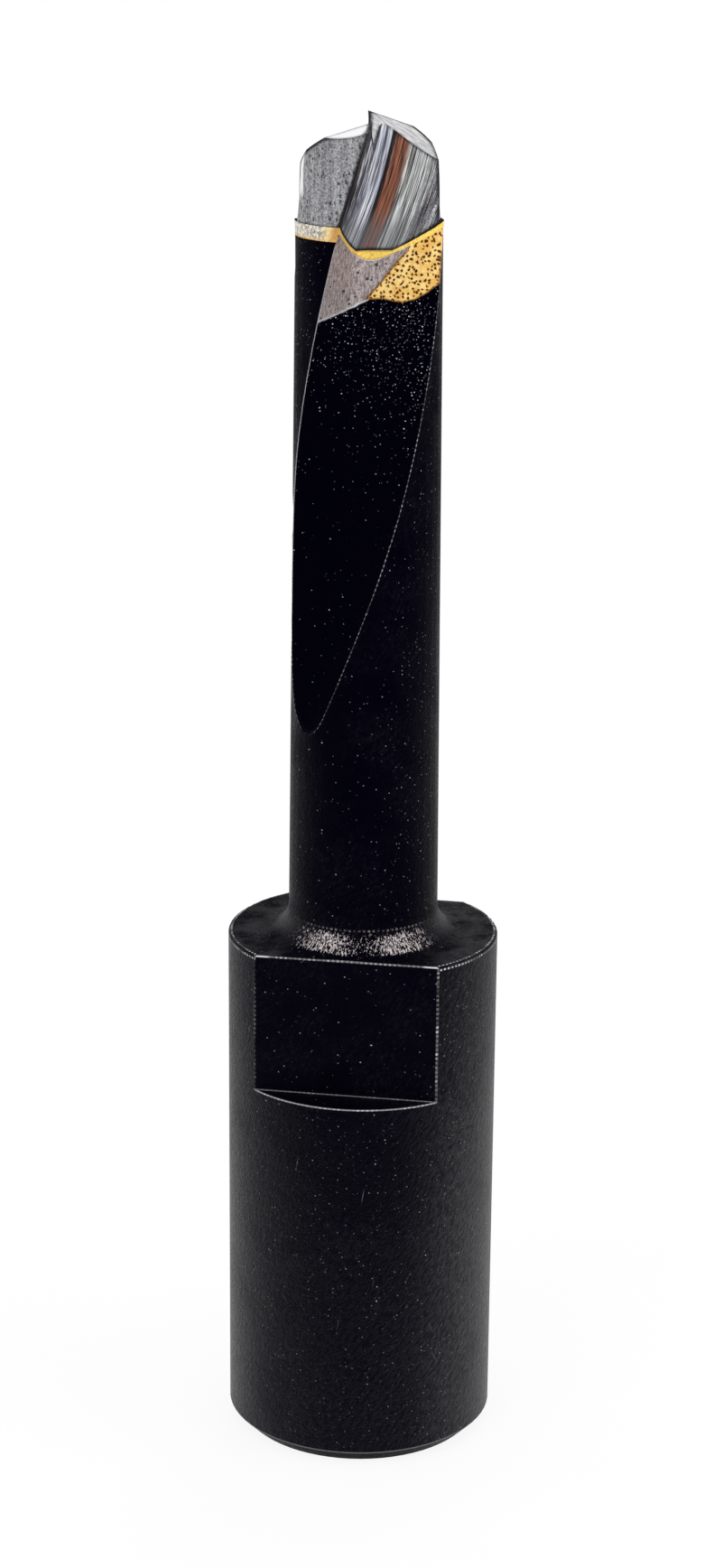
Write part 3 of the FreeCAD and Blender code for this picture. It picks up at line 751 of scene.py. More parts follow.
@dataclass(frozen=True)
class BlackOxide(Finish):
    """Satin black oxide on turned steel: fine scratches, rubbed edges with painted highlights,
    painted glints, a painted fillet highlight and a painted lighter right side.
    """

    name: str = "black_oxide"
    deep: Tint = (0.0009, 0.0007, 0.0034)
    pale: Tint = (0.0064, 0.0058, 0.0098)
    worn: Tint = (0.70, 0.70, 0.72)
    scuffed: Tint = (0.16, 0.16, 0.17)
    # colour of the painted light on the boss's right side
    dusty: Tint = (0.034, 0.031, 0.034)
    glint: Tint = (0.62, 0.63, 0.66)
    # the fillet flecks' colour, partly a painted highlight
    fleck: Tint = (0.74, 0.66, 0.66)
    rubbing: Rubbing = Rubbing()
    glints: Glints = Glints()
    fillet_rub: FilletRub = FilletRub()
    bare: BareSteel = BareSteel()
    slanted: Scratches = Scratches(27.0, 0.40)
    upright: Scratches = Scratches(-9.0, 0.20)
    grain: Pattern = Pattern(4.6, 3.0, 0.7, 0.32, 0.70)
    creases: Pattern = Pattern(1.0, 3.0, 0.7, 0.40, 0.64)
    top_clouds: Pattern = Pattern(0.55, 4.0, 0.7, 0.36, 0.64)
    blotches: Pattern = Pattern(0.19, 2.0, 0.5, 0.50, 0.68)
    crease_lean: Span = (0.80, 0.55)
    crease_cells: Span = (3.4, 1.3)
    boss_mottle: Pattern = Pattern(0.20, 3.0, 0.6, 0.40, 0.80)
    stem_mottle: Pattern = Pattern(0.20, 3.0, 0.6, 0.35, 0.70)
    pale_low: Span = (33.0, 4.0)
    pale_boss: float = 0.75
    pale_stem: float = 0.45
    dusty_right: Span = (3.5, 10.5)
    dusty_upper: Span = (24.0, 40.0)
    milled_dark: float = 0.80
    mirror_heights: Span = (18.0, 42.0)
    mirror_levels: Span = (0.22, 0.07)
    stem_from: Span = (46.5, 50.0)
    stem_dull: float = 0.68
    stem_upper: Span = (56.0, 84.0)
    stem_duller: float = 0.23
    fillet_mirror: float = 0.06
    top_facing: Span = (0.45, 0.95)
    top_dull: float = 0.92
    chamfer_facing: Span = (-0.3, -0.5)
    chamfer_dull: float = 0.97
    flute_dull: float = 0.85
    scuff_share: float = 0.65
    scuffed_stem: Span = (48.5, 60.0)
    stem_scuffs: float = 0.6
    edge_reach: float = 0.13
    edge_rise: Span = (0.04, 0.10)
    edge_end: Span = (104.0, 103.0)
    heel_across: Span = (1.5, 3.0)
    heel_gap: float = 0.10
    line_on_black: float = 0.80
    mirror_tint: Rgba = (0.05, 0.05, 0.065, 1.0)
    hem_share: float = 0.55
    line_metal: float = 0.9
    bare_metal: float = 0.55
    relief_height: float = 0.022

    def tone(self, at: Surface, grain: Socket) -> tuple[Socket, Socket]:
        """Return how pale the oxide is, and how much painted light lifts its right side, both as
        shares.

        Args:
            at: the material's board.
            grain: the skin's fine grain.

        Returns:
            The pale share, which is most at the boss's foot, and the share of painted light on the
            right side.
        """
        _, out = at.flat_frame
        milled = at.product(at.near(out, BIT.flat_distance, 0.06),
                            at.rise(at.z, BIT.ledge_height - 0.2, BIT.ledge_height - 0.1))
        open_wall = at.less(milled, self.milled_dark)
        low = at.rise(at.minus(at.z, at.x), *self.pale_low)
        uneven_low = at.total(at.product(low, 0.85), at.pattern(at.point, self.boss_mottle))
        boss = at.product(at.on_boss, uneven_low, self.pale_boss)
        stem = at.product(at.pattern(at.point, self.stem_mottle),
                          at.rise(at.depth_in_stem, at.flute_depth, 0.0), self.pale_stem)
        pale = at.either(at.product(boss, open_wall), stem)
        lower = at.scaled(at.rise(at.z, *self.dusty_upper), -0.45, 0.85)
        # painted light: the boss's right side is lighter, less so towards the top
        dusty = at.product(at.rise(at.x, *self.dusty_right), at.on_boss, open_wall, lower)
        uneven = at.total(at.product(grain, self.leather(at), 2.2), 0.2)
        return at.product(pale, uneven), at.product(dusty, uneven)

    def leather(self, at: Surface) -> Socket:
        """Return the skin's slanted creases."""
        sideways, upward, _ = at.parts(at.sheet)
        more, less = self.crease_lean
        wide, high = self.crease_cells
        across = at.total(at.product(sideways, more), at.product(upward, -less))
        along = at.total(at.product(sideways, less), at.product(upward, more))
        where = at.joined(at.product(across, wide), at.product(along, high), 0.0)
        return at.pattern(where, self.creases)

    def sheen(self, at: Surface) -> Socket:
        """Return how much the oxide mirrors: less on the top face and inside the flutes."""
        cloud = at.pattern(at.point, self.top_clouds)
        top_face = at.product(at.rise(at.upward, *self.top_facing), at.scaled(cloud, 0.20, 0.86))
        inside = at.product(
            at.rise(at.depth_in_stem, 0.0, 0.25),
            at.rise(at.z, BIT.flute_foot, BIT.flute_foot + 2.0))
        low, high = self.mirror_heights
        at_low, at_high = self.mirror_levels
        level = at.place(
            "ShaderNodeMapRange", {0: at.z, 1: low, 2: high, 3: at_low, 4: at_high}).outputs[0]
        stem = at.total(at.product(at.rise(at.z, *self.stem_from), -self.stem_dull),
                        at.product(at.rise(at.z, *self.stem_upper), -self.stem_duller),
                        1.0)
        fillet = at.between(at.z, BIT.boss_height + 0.4, BIT.boss_height + 2.0, 0.5)
        blotch = at.pattern(at.point, self.blotches)
        level = at.product(level, at.scaled(blotch, -0.40, 1.04))
        level = at.total(at.product(level, stem), at.product(fillet, self.fillet_mirror))
        chamfer = at.rise(at.upward, *self.chamfer_facing)
        ends = at.total(at.product(top_face, -self.top_dull),
                        at.product(chamfer, -self.chamfer_dull), 1.0)
        return at.product(ends, at.less(inside, self.flute_dull), level)

    def skin(self, at: Surface, grain: Socket) -> Socket:
        """Return the oxide's colour with painted light on the right side, scratches, painted glints
        and the fillet's flecks.
        """
        pale, dusty = self.tone(at, grain)
        colour = at.blend(dusty, at.blend(pale, self.deep, self.pale), self.dusty)
        scuffs = at.either(self.slanted.marks(at), self.upright.marks(at))
        boss = at.rise(at.z, BIT.ledge_height, BIT.ledge_height - 2.0)
        stem = at.product(at.between(at.z, *self.scuffed_stem, 0.5), self.stem_scuffs)
        handled = at.either(boss, stem)
        colour = at.blend(at.product(scuffs, handled, self.scuff_share), colour, self.scuffed)
        # painted glints: small painted highlights, crowded in the flute below the joint
        colour = at.blend(self.glints.brightness(at), colour, self.glint)
        return at.blend(self.fillet_rub.flecks(at, self.rubbing), colour, self.fleck)

    def flute_lines(self, at: Surface, bare: Socket) -> Socket:
        """Return the flutes' bright edges, rubbed wear with painted highlight: solid at the cutting
        edge, dotted at the heel.
        """
        edge = at.rise(at.worn_edges(self.edge_reach), *self.edge_rise)
        across, _, _ = at.parts(at.flute_frame(BIT.stem_lead))
        heel = at.rise(at.math("ABSOLUTE", across), *self.heel_across)
        row = self.rubbing.dotted(at, at.z, self.heel_gap)
        line = at.product(
            edge, at.rise(at.z, BIT.flute_foot + 1.0, BIT.flute_foot + 3.0),
            at.rise(at.z, *self.edge_end),
            at.either(at.minus(1.0, heel), row))
        return at.product(line, at.at_least(bare, self.line_on_black))

    def shade(self, at: Surface) -> tuple[dict, Socket]:
        """Return the shader's inputs by name, and the relief as a share."""
        grain = at.pattern(at.point, self.grain)
        bare, hem = self.bare.patch(at)
        bare_colour, pits = self.bare.look(at)
        colour = at.blend(bare, self.skin(at, grain), bare_colour)
        lines = at.either(self.flute_lines(at, bare), self.rubbing.lines(at),
                          at.product(hem, self.hem_share))
        # the bright edge lines and the bare patch's hem: rubbed wear, with painted highlight on the
        # edges
        colour = at.blend(lines, colour, self.worn)
        shine = at.either(at.product(lines, self.line_metal), at.product(bare, self.bare_metal))
        deep = at.scaled(at.on_boss, 0.7, 0.9)
        creases = at.product(self.leather(at), at.on_round, deep)
        relief = at.total(grain, creases, at.product(pits, bare, -1.5))
        return {
            "Base Color": colour,
            "Metallic": shine,
            "Roughness": at.scaled(grain, 0.18, 0.28),
            "Specular IOR Level": self.sheen(at),
            "Specular Tint": self.mirror_tint,
        }, relief


@dataclass(frozen=True)
class CarbideLand:
    """The tip's round lands: grey, grained and pitted, with a bright ground margin painted near
    white as a highlight.
    """

    light: Tint = (0.50, 0.50, 0.52)
    dark: Tint = (0.13, 0.13, 0.14)
    pit: Tint = (0.02, 0.02, 0.022)
    margin: Tint = (0.93, 0.93, 0.94)
    grain: Pattern = Pattern(5.0, 4.0, 0.80, 0.38, 0.62)
    grain_share: float = 0.66
    drawn: Pattern = Pattern(1.0, 2.0, 0.5, 0.38, 0.62)
    drawn_stretch: Triple = (3.4, 3.4, 0.22)
    drawn_share: float = 0.34
    ring_cells: Span = (1.9, 1.35)
    ring_crowd: Pattern = Pattern(1.0, 1.0, 0.5, 0.36, 0.64)
    ring_share: float = 0.8
    ring_outside: Span = (0.28, 0.21)
    ring_inside: Span = (0.05, 0.13)
    flecks: Pattern = Pattern(7.0, 2.0, 0.5, 0.58, 0.66)
    fleck_share: float = 0.85
    pit_share: float = 0.92
    margin_front: Span = (-60.5, -61.5)
    margin_back: Span = (-80.0, -70.0)
    margin_heights: Span = (107.3, 111.5)
    margin_share: float = 0.9

    def pits(self, at: Surface) -> Socket:
        """Return the small rings and flecks that the land is pitted with."""
        wide, high = self.ring_cells
        sheet = at.joined(at.product(at.round_length, wide), at.product(at.z, high), 0.0)
        crowd = at.pattern(
            at.joined(at.product(at.round_length, 0.8), at.product(at.z, 0.2), 0.0),
            self.ring_crowd)
        cells = at.cells(sheet, 1.0)
        spread, _, chance = at.parts(cells.outputs["Color"])
        kept = at.math("LESS_THAN", chance, at.product(crowd, self.ring_share))
        distance = at.total(cells.outputs["Distance"], at.product(spread, 0.10))
        ring = at.product(kept, at.rise(distance, *self.ring_outside),
                          at.rise(distance, *self.ring_inside))
        fleck = at.product(at.pattern(at.point, self.flecks), self.fleck_share)
        return at.either(ring, fleck)

    def look(self, at: Surface) -> tuple[Socket, Socket]:
        """Return the land's colour and its pits."""
        drawn = at.vector("MULTIPLY", at.point, self.drawn_stretch)
        share = at.total(at.product(at.pattern(at.point, self.grain), self.grain_share),
                         at.product(at.pattern(drawn, self.drawn), self.drawn_share))
        colour = at.blend(share, self.dark, self.light)
        pits = self.pits(at)
        colour = at.blend(at.product(pits, self.pit_share), colour, self.pit)
        side = at.tooth_side(BIT.tip_lead)
        angle = at.math("ARCTAN2", at.product(at.x, side), at.product(at.y, side, -1.0))
        # painted highlight: the heel margin is painted near white
        margin = at.product(
            at.rise(angle, *(math.radians(edge) for edge in self.margin_front)),
            at.rise(angle, *(math.radians(edge) for edge in self.margin_back)),
            at.between(at.z, *self.margin_heights, 0.6), self.margin_share)
        return at.blend(margin, colour, self.margin), pits


@dataclass(frozen=True)
class CarbideFlute:
    """The tip's flute: long curved streaks that climb to the right, coloured with painted
    reflections and painted shade.
    """

    night: Tint = (0.006, 0.006, 0.010)
    slate: Tint = (0.085, 0.095, 0.135)
    ice: Tint = (0.52, 0.55, 0.64)
    soot: Tint = (0.018, 0.015, 0.018)
    copper: Tint = (0.24, 0.085, 0.050)
    rust: Tint = (0.45, 0.20, 0.12)
    dusk: Tint = (0.115, 0.12, 0.13)
    earth: Tint = (0.20, 0.17, 0.15)
    ash: Tint = (0.34, 0.35, 0.34)
    smoke: Tint = (0.20, 0.19, 0.205)
    white: Tint = (0.86, 0.88, 0.90)
    tilt: float = 0.116
    height: float = 107.68
    start: float = -1.9
    end: float = 5.9
    lean: float = 0.305
    curve: float = 0.013
    wander: float = 0.5
    warm_zone: Span = (0.37, 0.53)
    dark_edge: Span = (0.15, 0.07)
    dark_zone: Span = (0.335, 0.37)
    bright_lines: Span = (0.52, 0.59)
    dark_lines: Span = (0.48, 0.41)
    gloom_depth: Span = (-1.4, -3.6)
    gloom_share: float = 0.62
    far_side: Span = (3.6, 5.6)
    specks: Pattern = Pattern(5.5, 2.0, 0.7, 0.50, 0.62)
    speck_share: float = 0.7

    def place(self, at: Surface) -> tuple[Socket, Socket]:
        """Return how far across the flute a streak lies, and the height it is seen at."""
        side = at.flute_side(BIT.tip_lead)
        seen = at.total(at.z, at.product(at.y, side, self.tilt))
        up = at.minus(seen, self.height)
        lean = at.minus(at.product(up, self.lean), at.product(up, up, self.curve))
        return at.minus(at.product(at.x, side), lean), up

    def bands(self, at: Surface, share: Socket) -> Socket:
        """Return the broad bands of colour across the flute: pale painted reflections and dark
        painted shade.
        """
        # painted shade: the night and near-black bands; painted reflections: the ice bands
        return at.ramp(share, [
            (0.12, self.night),
            (0.16, self.slate),
            (0.20, self.slate),
            (0.24, self.ice),
            (0.27, self.slate),
            (0.32, self.ice),
            (0.345, self.soot),
            (0.375, self.soot),
            (0.395, self.copper),
            (0.50, self.copper),
            (0.55, self.earth),
            (0.62, self.ash),
            (0.76, self.ash),
            (0.86, self.smoke),
            (1.00, self.smoke),
        ])

    def streaks(self, at: Surface) -> Socket:
        """Return the bands with their fine painted highlights and dark streaks."""
        place, up = self.place(at)
        broad = at.joined(at.product(place, 1.6), at.product(up, 0.12), 4.0)
        drift = at.minus(at.noise(broad, 1.0, 2.0), 0.5)
        shifted = at.total(place, at.product(drift, self.wander))
        share = at.product(at.minus(shifted, self.start), 1.0 / (self.end - self.start))
        narrow = at.joined(at.product(place, 7.5), at.product(up, 0.16), 0.0)
        fine = at.noise(narrow, 1.0, 3.0, 0.75)
        warm = at.between(share, *self.warm_zone, 0.015)
        quiet = at.either(warm, at.rise(share, *self.dark_edge),
                          at.between(share, *self.dark_zone, 0.01))
        high = at.rise(fine, *self.bright_lines)
        bright = at.product(high, at.minus(1.0, quiet), 0.85)
        # painted highlights: fine white lines, and orange ones in the copper band
        lit = at.blend(bright, self.bands(at, share), self.white)
        lit = at.blend(at.product(high, warm, 0.7), lit, self.rust)
        low = at.product(at.rise(fine, *self.dark_lines), 0.88)
        gloom = at.product(at.rise(up, *self.gloom_depth), self.gloom_share)
        return at.blend(gloom, at.blend(low, lit, self.soot), self.dusk)

    def look(self, at: Surface) -> Socket:
        """Return the flute's colour, with dull specks crowding its far side."""
        place, _ = self.place(at)
        specks = at.product(at.rise(place, *self.far_side), at.pattern(at.point, self.specks))
        return at.blend(at.product(specks, self.speck_share), self.streaks(at), self.soot)


@dataclass(frozen=True)
class GroundCarbide(Finish):
    """Ground tungsten carbide: pitted lands, a streaked flute with painted reflections and shade,
    and bright end facets with painted highlights on their corner bevels.
    """

    name: str = "ground_carbide"
    facet: Tint = (0.54, 0.53, 0.54)
    facet_dark: Tint = (0.26, 0.26, 0.27)
    bevel: Tint = (0.93, 0.93, 0.94)
    outline: Tint = (0.008, 0.008, 0.010)
    land: CarbideLand = CarbideLand()
    flute: CarbideFlute = CarbideFlute()
    land_outward: Span = (0.72, 0.80)
    land_upward: Span = (0.14, 0.08)
    land_radius: Span = (5.0, 5.3)
    end_upward: Span = (0.83, 0.86)
    corner_upward: Span = (0.71, 0.83)
    corner_outward: Span = (0.3, 0.4)
    facet_slope: float = -32.0
    facet_drawn: Pattern = Pattern(1.0, 3.0, 0.7, 0.42, 0.56)
    edge_reach: float = 0.9
    edge_samples: int = 8
    edge_rise: Span = (0.05, 0.08)
    relief_height: float = 0.010

    def ends(self, at: Surface, colour: Socket) -> tuple[Socket, Socket]:
        """Return the colour with the bright end facets and the corner bevels, painted near white as
        a highlight.

        Args:
            at: the material's board.
            colour: the colour of the lands and flutes.

        Returns:
            The colour of the whole tip, and 1 on its ends.
        """
        end = at.rise(at.upward, *self.end_upward)
        corner = at.product(at.between(at.upward, *self.corner_upward, 0.02),
                            at.rise(at.outward, *self.corner_outward))
        slope = math.radians(self.facet_slope)
        along = at.total(at.product(at.x, math.cos(slope)), at.product(at.y, math.sin(slope)))
        over = at.total(at.product(at.x, -math.sin(slope)), at.product(at.y, math.cos(slope)))
        where = at.joined(at.product(along, 0.7), at.product(over, 8.0), 0.0)
        facet = at.blend(at.pattern(where, self.facet_drawn), self.facet_dark, self.facet)
        # painted highlight: the corner bevels are painted near white
        colour = at.blend(corner, at.blend(end, colour, facet), self.bevel)
        return colour, at.either(end, corner)

    def shade(self, at: Surface) -> tuple[dict, Socket]:
        """Return the shader's inputs by name, and the relief as a share."""
        on_land = at.product(at.rise(at.outward, *self.land_outward),
                             at.rise(at.upward, *self.land_upward),
                             at.rise(at.radius, *self.land_radius))
        land, pits = self.land.look(at)
        colour = at.blend(on_land, self.flute.look(at), land)
        colour, ends = self.ends(at, colour)
        edge = at.rise(at.worn_edges(self.edge_reach, self.edge_samples), *self.edge_rise)
        colour = at.blend(at.product(edge, 0.97), colour, self.outline)
        relief = at.minus(at.noise(at.point, 6.0, 2.0), pits)
        metal = at.scaled(at.either(on_land, ends), 0.90, 0.05)
        shine = at.product(metal, at.minus(1.0, edge))
        return {
            "Base Color": colour,
            "Metallic": shine,
            "Roughness": at.scaled(on_land, 0.16, 0.30),
            "Specular IOR Level": at.product(shine, 0.5),
        }, at.product(relief, on_land)


@dataclass(frozen=True)
class BrazeAlloy(Finish):
    """Brass-coloured porous braze, darker in its pore holes and along the spill's lower edge."""

    name: str = "braze_alloy"
    gold: Tint = (0.76, 0.46, 0.12)
    pale: Tint = (0.90, 0.66, 0.26)
    amber: Tint = (0.50, 0.22, 0.035)
    burnt: Tint = (0.045, 0.018, 0.008)
    seam: Tint = (0.92, 0.66, 0.15)
    cream: Tint = (0.84, 0.79, 0.68)
    grey: Tint = (0.20, 0.18, 0.16)
    grain: Pattern = Pattern(6.5, 3.0, 0.7, 0.35, 0.68)
    coarse: Pattern = Pattern(4.0, 3.0, 0.75, 0.46, 0.58)
    pore_cells: float = 2.75
    pore_unevenness: float = 0.85
    pore_bend: float = 0.55
    pores_missing: float = 0.93
    pore_rim: Span = (0.50, 0.33)
    pore_hole: Span = (0.33, 0.25)
    seam_edge: Span = (-0.16, -0.02)
    band_outward: Span = (0.80, 0.88)
    band_height: Span = (103.7, 103.9)
    band_golden: Span = (1.8, 0.8)
    band_scorched: Span = (0.9, 0.3)
    band_foot: float = 104.0
    spill_below: Span = (103.0, 102.6)
    rim_reach: float = 0.36
    rim_samples: int = 8
    rim_amber: Span = (0.02, 0.06)
    rim_burnt: Span = (0.10, 0.20)
    relief_height: float = 0.05

    def pores(self, at: Surface) -> Socket:
        """Return the distance from the nearest pore's middle, in shares of a pore's cell."""
        front = at.from_front(BIT.stem_lead)
        bend = at.place("ShaderNodeTexNoise", {"Vector": front, "Scale": 1.6}).outputs[1]
        bent = at.vector("ADD", front, at.vector("SCALE", bend, self.pore_bend))
        cells = at.cells(bent, self.pore_cells, self.pore_unevenness)
        spread, _, chance = at.parts(cells.outputs["Color"])
        missing = at.math("GREATER_THAN", chance, self.pores_missing)
        return at.total(cells.outputs["Distance"], missing, at.product(spread, 0.13))

    def seam_share(self, at: Surface) -> Socket:
        """Return 1 on the crescent where the seat's film shows in the flute."""
        foot = BIT.seat_rim - BIT.stem_end_radius * BIT.seat_slope
        cone = at.scaled(at.radius, BIT.seat_slope, foot)
        return at.rise(at.minus(at.z, cone), *self.seam_edge)

    def band_look(self, at: Surface) -> Socket:
        """Return the colour of the band at the rim: speckled, golden and scorched at one end."""
        across = at.math("ABSOLUTE", at.parts(at.flute_frame(BIT.tip_lead))[0])
        coarse = at.pattern(at.point, self.coarse)
        speckled = at.blend(at.product(coarse, 0.85), self.cream, self.grey)
        golden = at.product(at.rise(across, *self.band_golden), at.scaled(coarse, -0.3, 0.9))
        scorched = at.product(at.rise(across, *self.band_scorched), 0.75)
        return at.blend(scorched, at.blend(golden, speckled, self.pale), self.amber)

    def burnt_rim(self, at: Surface, colour: Socket) -> Socket:
        """Return the colour, darker along the spill's lower edge."""
        rim = at.worn_edges(self.rim_reach, self.rim_samples)
        low = at.rise(at.z, *self.spill_below)
        amber = at.product(at.rise(rim, *self.rim_amber), low, 0.75)
        burnt = at.product(at.rise(rim, *self.rim_burnt), low, 0.85)
        return at.blend(burnt, at.blend(amber, colour, self.amber), self.burnt)

    def shade(self, at: Surface) -> tuple[dict, Socket]:
        """Return the shader's inputs by name, and the relief as a share."""
        cloud = at.noise(at.point, 1.1, 3.0, 0.6)
        grain = at.pattern(at.point, self.grain)
        far = self.pores(at)
        hole = at.rise(far, *self.pore_hole)
        colour = at.blend(at.rise(cloud, 0.38, 0.62), self.gold, self.pale)
        colour = at.blend(at.product(at.rise(far, *self.pore_rim), 0.80), colour, self.amber)
        # darker in the pore holes
        colour = at.blend(hole, colour, self.burnt)
        seam = self.seam_share(at)
        seam_dark = at.product(at.rise(grain, 0.6, 0.9), 0.5)
        colour = at.blend(seam, colour, at.blend(seam_dark, self.seam, self.amber))
        band = at.product(at.rise(at.outward, *self.band_outward), at.rise(at.z, *self.band_height))
        colour = at.blend(band, colour, self.band_look(at))
        lower = at.product(band, at.near(at.z, self.band_foot, 0.16), at.rise(cloud, 0.30, 0.5))
        colour = self.burnt_rim(at, at.blend(lower, colour, self.gold))
        pitted = at.product(hole, at.minus(1.0, at.either(seam, band)))
        relief = at.minus(at.product(grain, 0.4), pitted)
        return {
            "Base Color": colour,
            "Metallic": 0.9,
            "Roughness": at.scaled(grain, 0.25, 0.30),
        }, relief


@dataclass(frozen=True)
class RubbedThread(Finish):
    """Blackened thread whose crests are lighter: rubbed bright by the spindle, with a painted
    highlight that lets them show in the dark bore.
    """

    name: str = "rubbed_thread_highlight"
    root: Tint = (0.022, 0.021, 0.025)
    crest: Tint = (0.40, 0.40, 0.41)
    root_radius: float = 5.72
    crest_radius: float = 5.44
    grain: Pattern = Pattern(3.2, 3.0, 0.7, 0.30, 0.62)
    relief_height: float = 0.010

    def shade(self, at: Surface) -> tuple[dict, Socket]:
        """Return the shader's inputs by name, and the relief as a share."""
        grain = at.pattern(at.point, self.grain)
        # painted highlight and rubbed wear: the crests are lighter than the roots
        rubbed = at.product(at.rise(at.radius, self.root_radius, self.crest_radius),
                            at.at_least(grain, 0.4))
        return {
            "Base Color": at.blend(rubbed, self.root, self.crest),
            "Metallic": at.product(rubbed, 0.8),
            "Roughness": at.scaled(grain, 0.2, 0.25),
        }, grain


@dataclass
class Rotor:
    """The bit's three CAD pieces, kept in their own shape and given their finishes."""

    finishes: dict[str, Finish] = field(default_factory=lambda: {
        "steel_body": BlackOxide(),
        "carbide_tip": GroundCarbide(),
        "braze_filler": BrazeAlloy(),
    })

    def dress(self) -> None:
        """Give each CAD piece its material."""
        for piece, finish in self.finishes.items():
            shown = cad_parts[piece]
            shown.data.materials.clear()
            shown.data.materials.append(finish.material())
            LOG.info("%s wears %s", piece, finish.name)


@dataclass
class SpindleThread:
    """The thread in the boss's bore, swept along a helix by a node tree."""

    name: str = "spindle_thread"
    wall_radius: float = 6.0
    pitch: float = 1.25
    crest: float = 0.62
    sink: float = 0.02
    root_share: float = 0.44
    crest_flat: float = 0.12
    start: float = 3.6
    end: float = 21.4
    steps_per_turn: int = 56

    def tree(self, material: bpy.types.Material) -> bpy.types.NodeTree:
        """Return the node tree that sweeps a ridge along a helix.

        Args:
            material: the finish of the ridge.

        Returns:
            The tree, with its sizes as named inputs.
        """
        tree = bpy.data.node_groups.new("thread_helix", "GeometryNodeTree")
        face = tree.interface
        face.new_socket("Geometry", in_out="INPUT", socket_type="NodeSocketGeometry")
        for label in ("Radius", "Length", "Turns", "Crest", "Half Root", "Foot"):
            face.new_socket(label, in_out="INPUT", socket_type="NodeSocketFloat")
        face.new_socket("Geometry", in_out="OUTPUT", socket_type="NodeSocketGeometry")
        board = NodeBoard(tree)
        given = board.place("NodeGroupInput").outputs
        helix = board.place("GeometryNodeCurveSpiral", {
            "Resolution": self.steps_per_turn, "Rotations": given["Turns"],
            "Start Radius": given["Radius"], "End Radius": given["Radius"],
            "Height": given["Length"]})
        helix.inputs["Reverse"].default_value = True  # right-handed
        ridge = board.place("GeometryNodeCurvePrimitiveQuadrilateral", mode="POINTS")
        inmost = board.product(given["Crest"], -1.0)
        corners = (
            (0.0, given["Half Root"]),
            (inmost, board.product(given["Half Root"], self.crest_flat)),
            (inmost, board.product(given["Half Root"], -self.crest_flat)),
            (0.0, board.product(given["Half Root"], -1.0)),
        )
        for number, (outward, along) in enumerate(corners, start=1):
            spot = board.joined(outward, along, 0.0)
            tree.links.new(spot, ridge.inputs["Point " + str(number)])
        upright = board.place(
            "GeometryNodeSetCurveNormal", {"Curve": helix.outputs[0]}, mode="Z_UP")
        swept = board.place("GeometryNodeCurveToMesh", {
            "Curve": upright.outputs[0], "Profile Curve": ridge.outputs[0], "Fill Caps": True})
        lifted = board.place("GeometryNodeTransform", {
            "Geometry": swept.outputs[0], "Translation": board.joined(0.0, 0.0, given["Foot"])})
        plain = board.place("GeometryNodeRealizeInstances", {0: lifted.outputs[0]})
        dressed = board.place(
            "GeometryNodeSetMaterial", {"Geometry": plain.outputs[0], "Material": material})
        out = board.place("NodeGroupOutput")
        tree.links.new(dressed.outputs[0], out.inputs[0])
        return tree

    def build(self, material: bpy.types.Material) -> bpy.types.Object:
        """Make the thread as a plain mesh that rides on the bit.

        Args:
            material: the finish of the ridge.

        Returns:
            The thread's object.
        """
        length = self.end - self.start
        sizes = {
            "Radius": (self.wall_radius + self.sink) * MM,
            "Length": length * MM,
            "Turns": length / self.pitch,
            "Crest": (self.crest + self.sink) * MM,
            "Half Root": self.root_share * self.pitch * MM,
            "Foot": self.start * MM,
        }
        return grown(self.name, self.tree(material), sizes)


def grown(name: str, tree: bpy.types.NodeTree, sizes: dict[str, float]) -> bpy.types.Object:
    """Run a node tree on an empty mesh and keep the result as a plain mesh.

    Args:
        name: the new piece's name.
        tree: the node tree.
        sizes: values of the tree's inputs by their labels.

    Returns:
        The piece, riding on the bit's body.
    """
    carrier = bpy.data.objects.new(name + "_carrier", bpy.data.meshes.new(name + "_seed"))
    bpy.context.scene.collection.objects.link(carrier)
    modifier = carrier.modifiers.new("grow", "NODES")
    modifier.node_group = tree
    for item in tree.interface.items_tree:
        if item.item_type == "SOCKET" and item.in_out == "INPUT" and item.name in sizes:
            modifier[item.identifier] = sizes[item.name]
    shown = carrier.evaluated_get(bpy.context.evaluated_depsgraph_get())
    mesh = bpy.data.meshes.new_from_object(shown)
    mesh.name = name
    carrier.modifiers.remove(modifier)
    bpy.data.objects.remove(carrier)
    piece = bpy.data.objects.new(name, mesh)
    bpy.context.scene.collection.objects.link(piece)
    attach(piece, "root")
    LOG.info("%s has %d faces", name, len(mesh.polygons))
    return piece


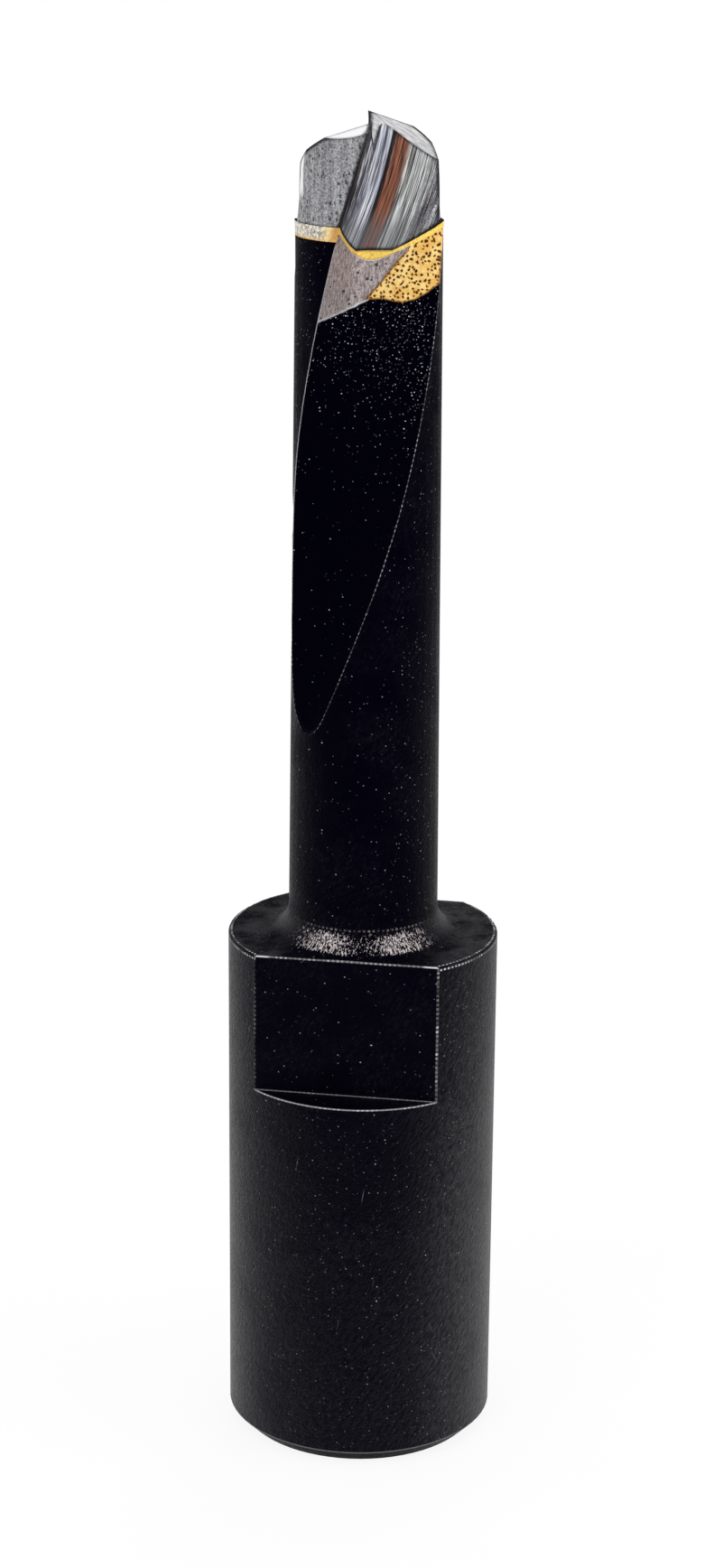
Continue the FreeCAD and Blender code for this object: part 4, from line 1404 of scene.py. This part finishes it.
@dataclass
class Studio:
    """Plain pale floor, soft lamps and the photograph's camera."""

    camera_place: Triple = (0.0, -261.48, 137.37)
    pitch: float = 16.913
    roll: float = 0.492
    yaw: float = -0.051
    lens: float = 74.43
    sensor: float = 36.0
    clip: Span = (10.0, 50000.0)
    floor_half: float = 6000.0
    shadow_reach: float = 80.0
    lamps: dict[Light, tuple] = field(default_factory=lambda: {
        Light.KEY: ((-420.0, -520.0, 620.0), 460.0, 1.3),
        Light.FILL: ((620.0, -200.0, 300.0), 480.0, 1.3),
        Light.RIM: ((140.0, 620.0, 480.0), 420.0, 0.8),
    })
    lamp_target: Triple = (0.0, 0.0, 60.0)
    white: Rgba = (1.0, 1.0, 1.0, 1.0)
    floor_tone: Rgba = (0.96, 0.96, 0.96, 1.0)
    floor_glow: float = 0.88
    room_light: float = 0.85

    def camera(self) -> bpy.types.Object:
        """Set up the camera at the photograph's viewing angle.

        Returns:
            The camera's object.
        """
        pitch, roll, yaw = (math.radians(angle) for angle in (self.pitch, self.roll, self.yaw))
        ahead = Vector((math.sin(yaw) * math.cos(pitch),
                        math.cos(yaw) * math.cos(pitch),
                        -math.sin(pitch)))
        level = Vector((math.cos(yaw), -math.sin(yaw), 0.0))
        upright = level.cross(ahead)
        right = math.cos(roll) * level + math.sin(roll) * upright
        up = math.cos(roll) * upright - math.sin(roll) * level
        data = bpy.data.cameras.new("photo_camera")
        data.lens = self.lens
        data.sensor_width = self.sensor
        data.clip_start, data.clip_end = (distance * MM for distance in self.clip)
        camera = bpy.data.objects.new("photo_camera", data)
        turn = Matrix((right, up, -ahead)).transposed().to_4x4()
        camera.matrix_world = Matrix.Translation(Vector(self.camera_place) * MM) @ turn
        bpy.context.scene.collection.objects.link(camera)
        bpy.context.scene.camera = camera
        return camera

    def seen_directly(self, board: NodeBoard) -> Socket:
        """Return 1 for what the camera, a gloss or a glass sees."""
        path = board.place("ShaderNodeLightPath").outputs
        seen = board.math("MAXIMUM", path["Is Camera Ray"], path["Is Glossy Ray"])
        return board.math("MAXIMUM", seen, path["Is Transmission Ray"])

    def floor(self) -> bpy.types.Object:
        """Lay the pale floor that carries the shadow.

        Returns:
            The floor's object.
        """
        mesh = bpy.data.meshes.new("floor")
        half = self.floor_half * MM
        sheet = bmesh.new()
        bmesh.ops.create_grid(sheet, x_segments=8, y_segments=8, size=half)
        sheet.to_mesh(mesh)
        sheet.free()
        made = bpy.data.materials.new("pale_floor")
        made.use_nodes = True
        board = NodeBoard(made.node_tree)
        matt = board.place("ShaderNodeBsdfDiffuse", {"Color": self.floor_tone})
        glow = board.place("ShaderNodeEmission", {"Color": self.white, "Strength": 1.0})
        where = board.place("ShaderNodeTexCoord").outputs["Object"]
        distance = board.vector("LENGTH", where, output=1)
        open_floor = board.rise(distance, self.shadow_reach * MM, 2.5 * self.shadow_reach * MM)
        share = board.product(
            self.seen_directly(board), board.at_least(open_floor, self.floor_glow))
        mixed = board.place(
            "ShaderNodeMixShader", {0: share, 1: matt.outputs[0], 2: glow.outputs[0]})
        board.place("ShaderNodeOutputMaterial", {0: mixed.outputs[0]})
        mesh.materials.append(made)
        floor = bpy.data.objects.new("floor", mesh)
        bpy.context.scene.collection.objects.link(floor)
        return floor

    def light(self) -> None:
        """Hang the lamps and fill the room with soft light."""
        for which, (place, side, power) in self.lamps.items():
            data = bpy.data.lights.new(which.value, "AREA")
            data.shape = "SQUARE"
            data.size = side * MM
            data.energy = power
            lamp = bpy.data.objects.new(which.value, data)
            spot = Vector(place) * MM
            lamp.location = spot
            ahead = Vector(self.lamp_target) * MM - spot
            lamp.rotation_euler = ahead.to_track_quat("-Z", "Y").to_euler()
            bpy.context.scene.collection.objects.link(lamp)
        room = bpy.data.worlds.new("room")
        room.use_nodes = True
        board = NodeBoard(room.node_tree)
        strength = board.at_least(self.seen_directly(board), self.room_light)
        air = board.place("ShaderNodeBackground", {"Color": self.white, "Strength": strength})
        board.place("ShaderNodeOutputWorld", {0: air.outputs[0]})
        bpy.context.scene.world = room


def main() -> None:
    """Build the studio and the bit in order."""
    logging.basicConfig(level=logging.INFO, format="%(name)s: %(message)s")
    bpy.context.scene.view_settings.view_transform = "Standard"
    studio = Studio()
    studio.camera()
    studio.floor()
    studio.light()
    Rotor().dress()
    SpindleThread().build(RubbedThread().material())


if __name__ == "__main__":
    main()
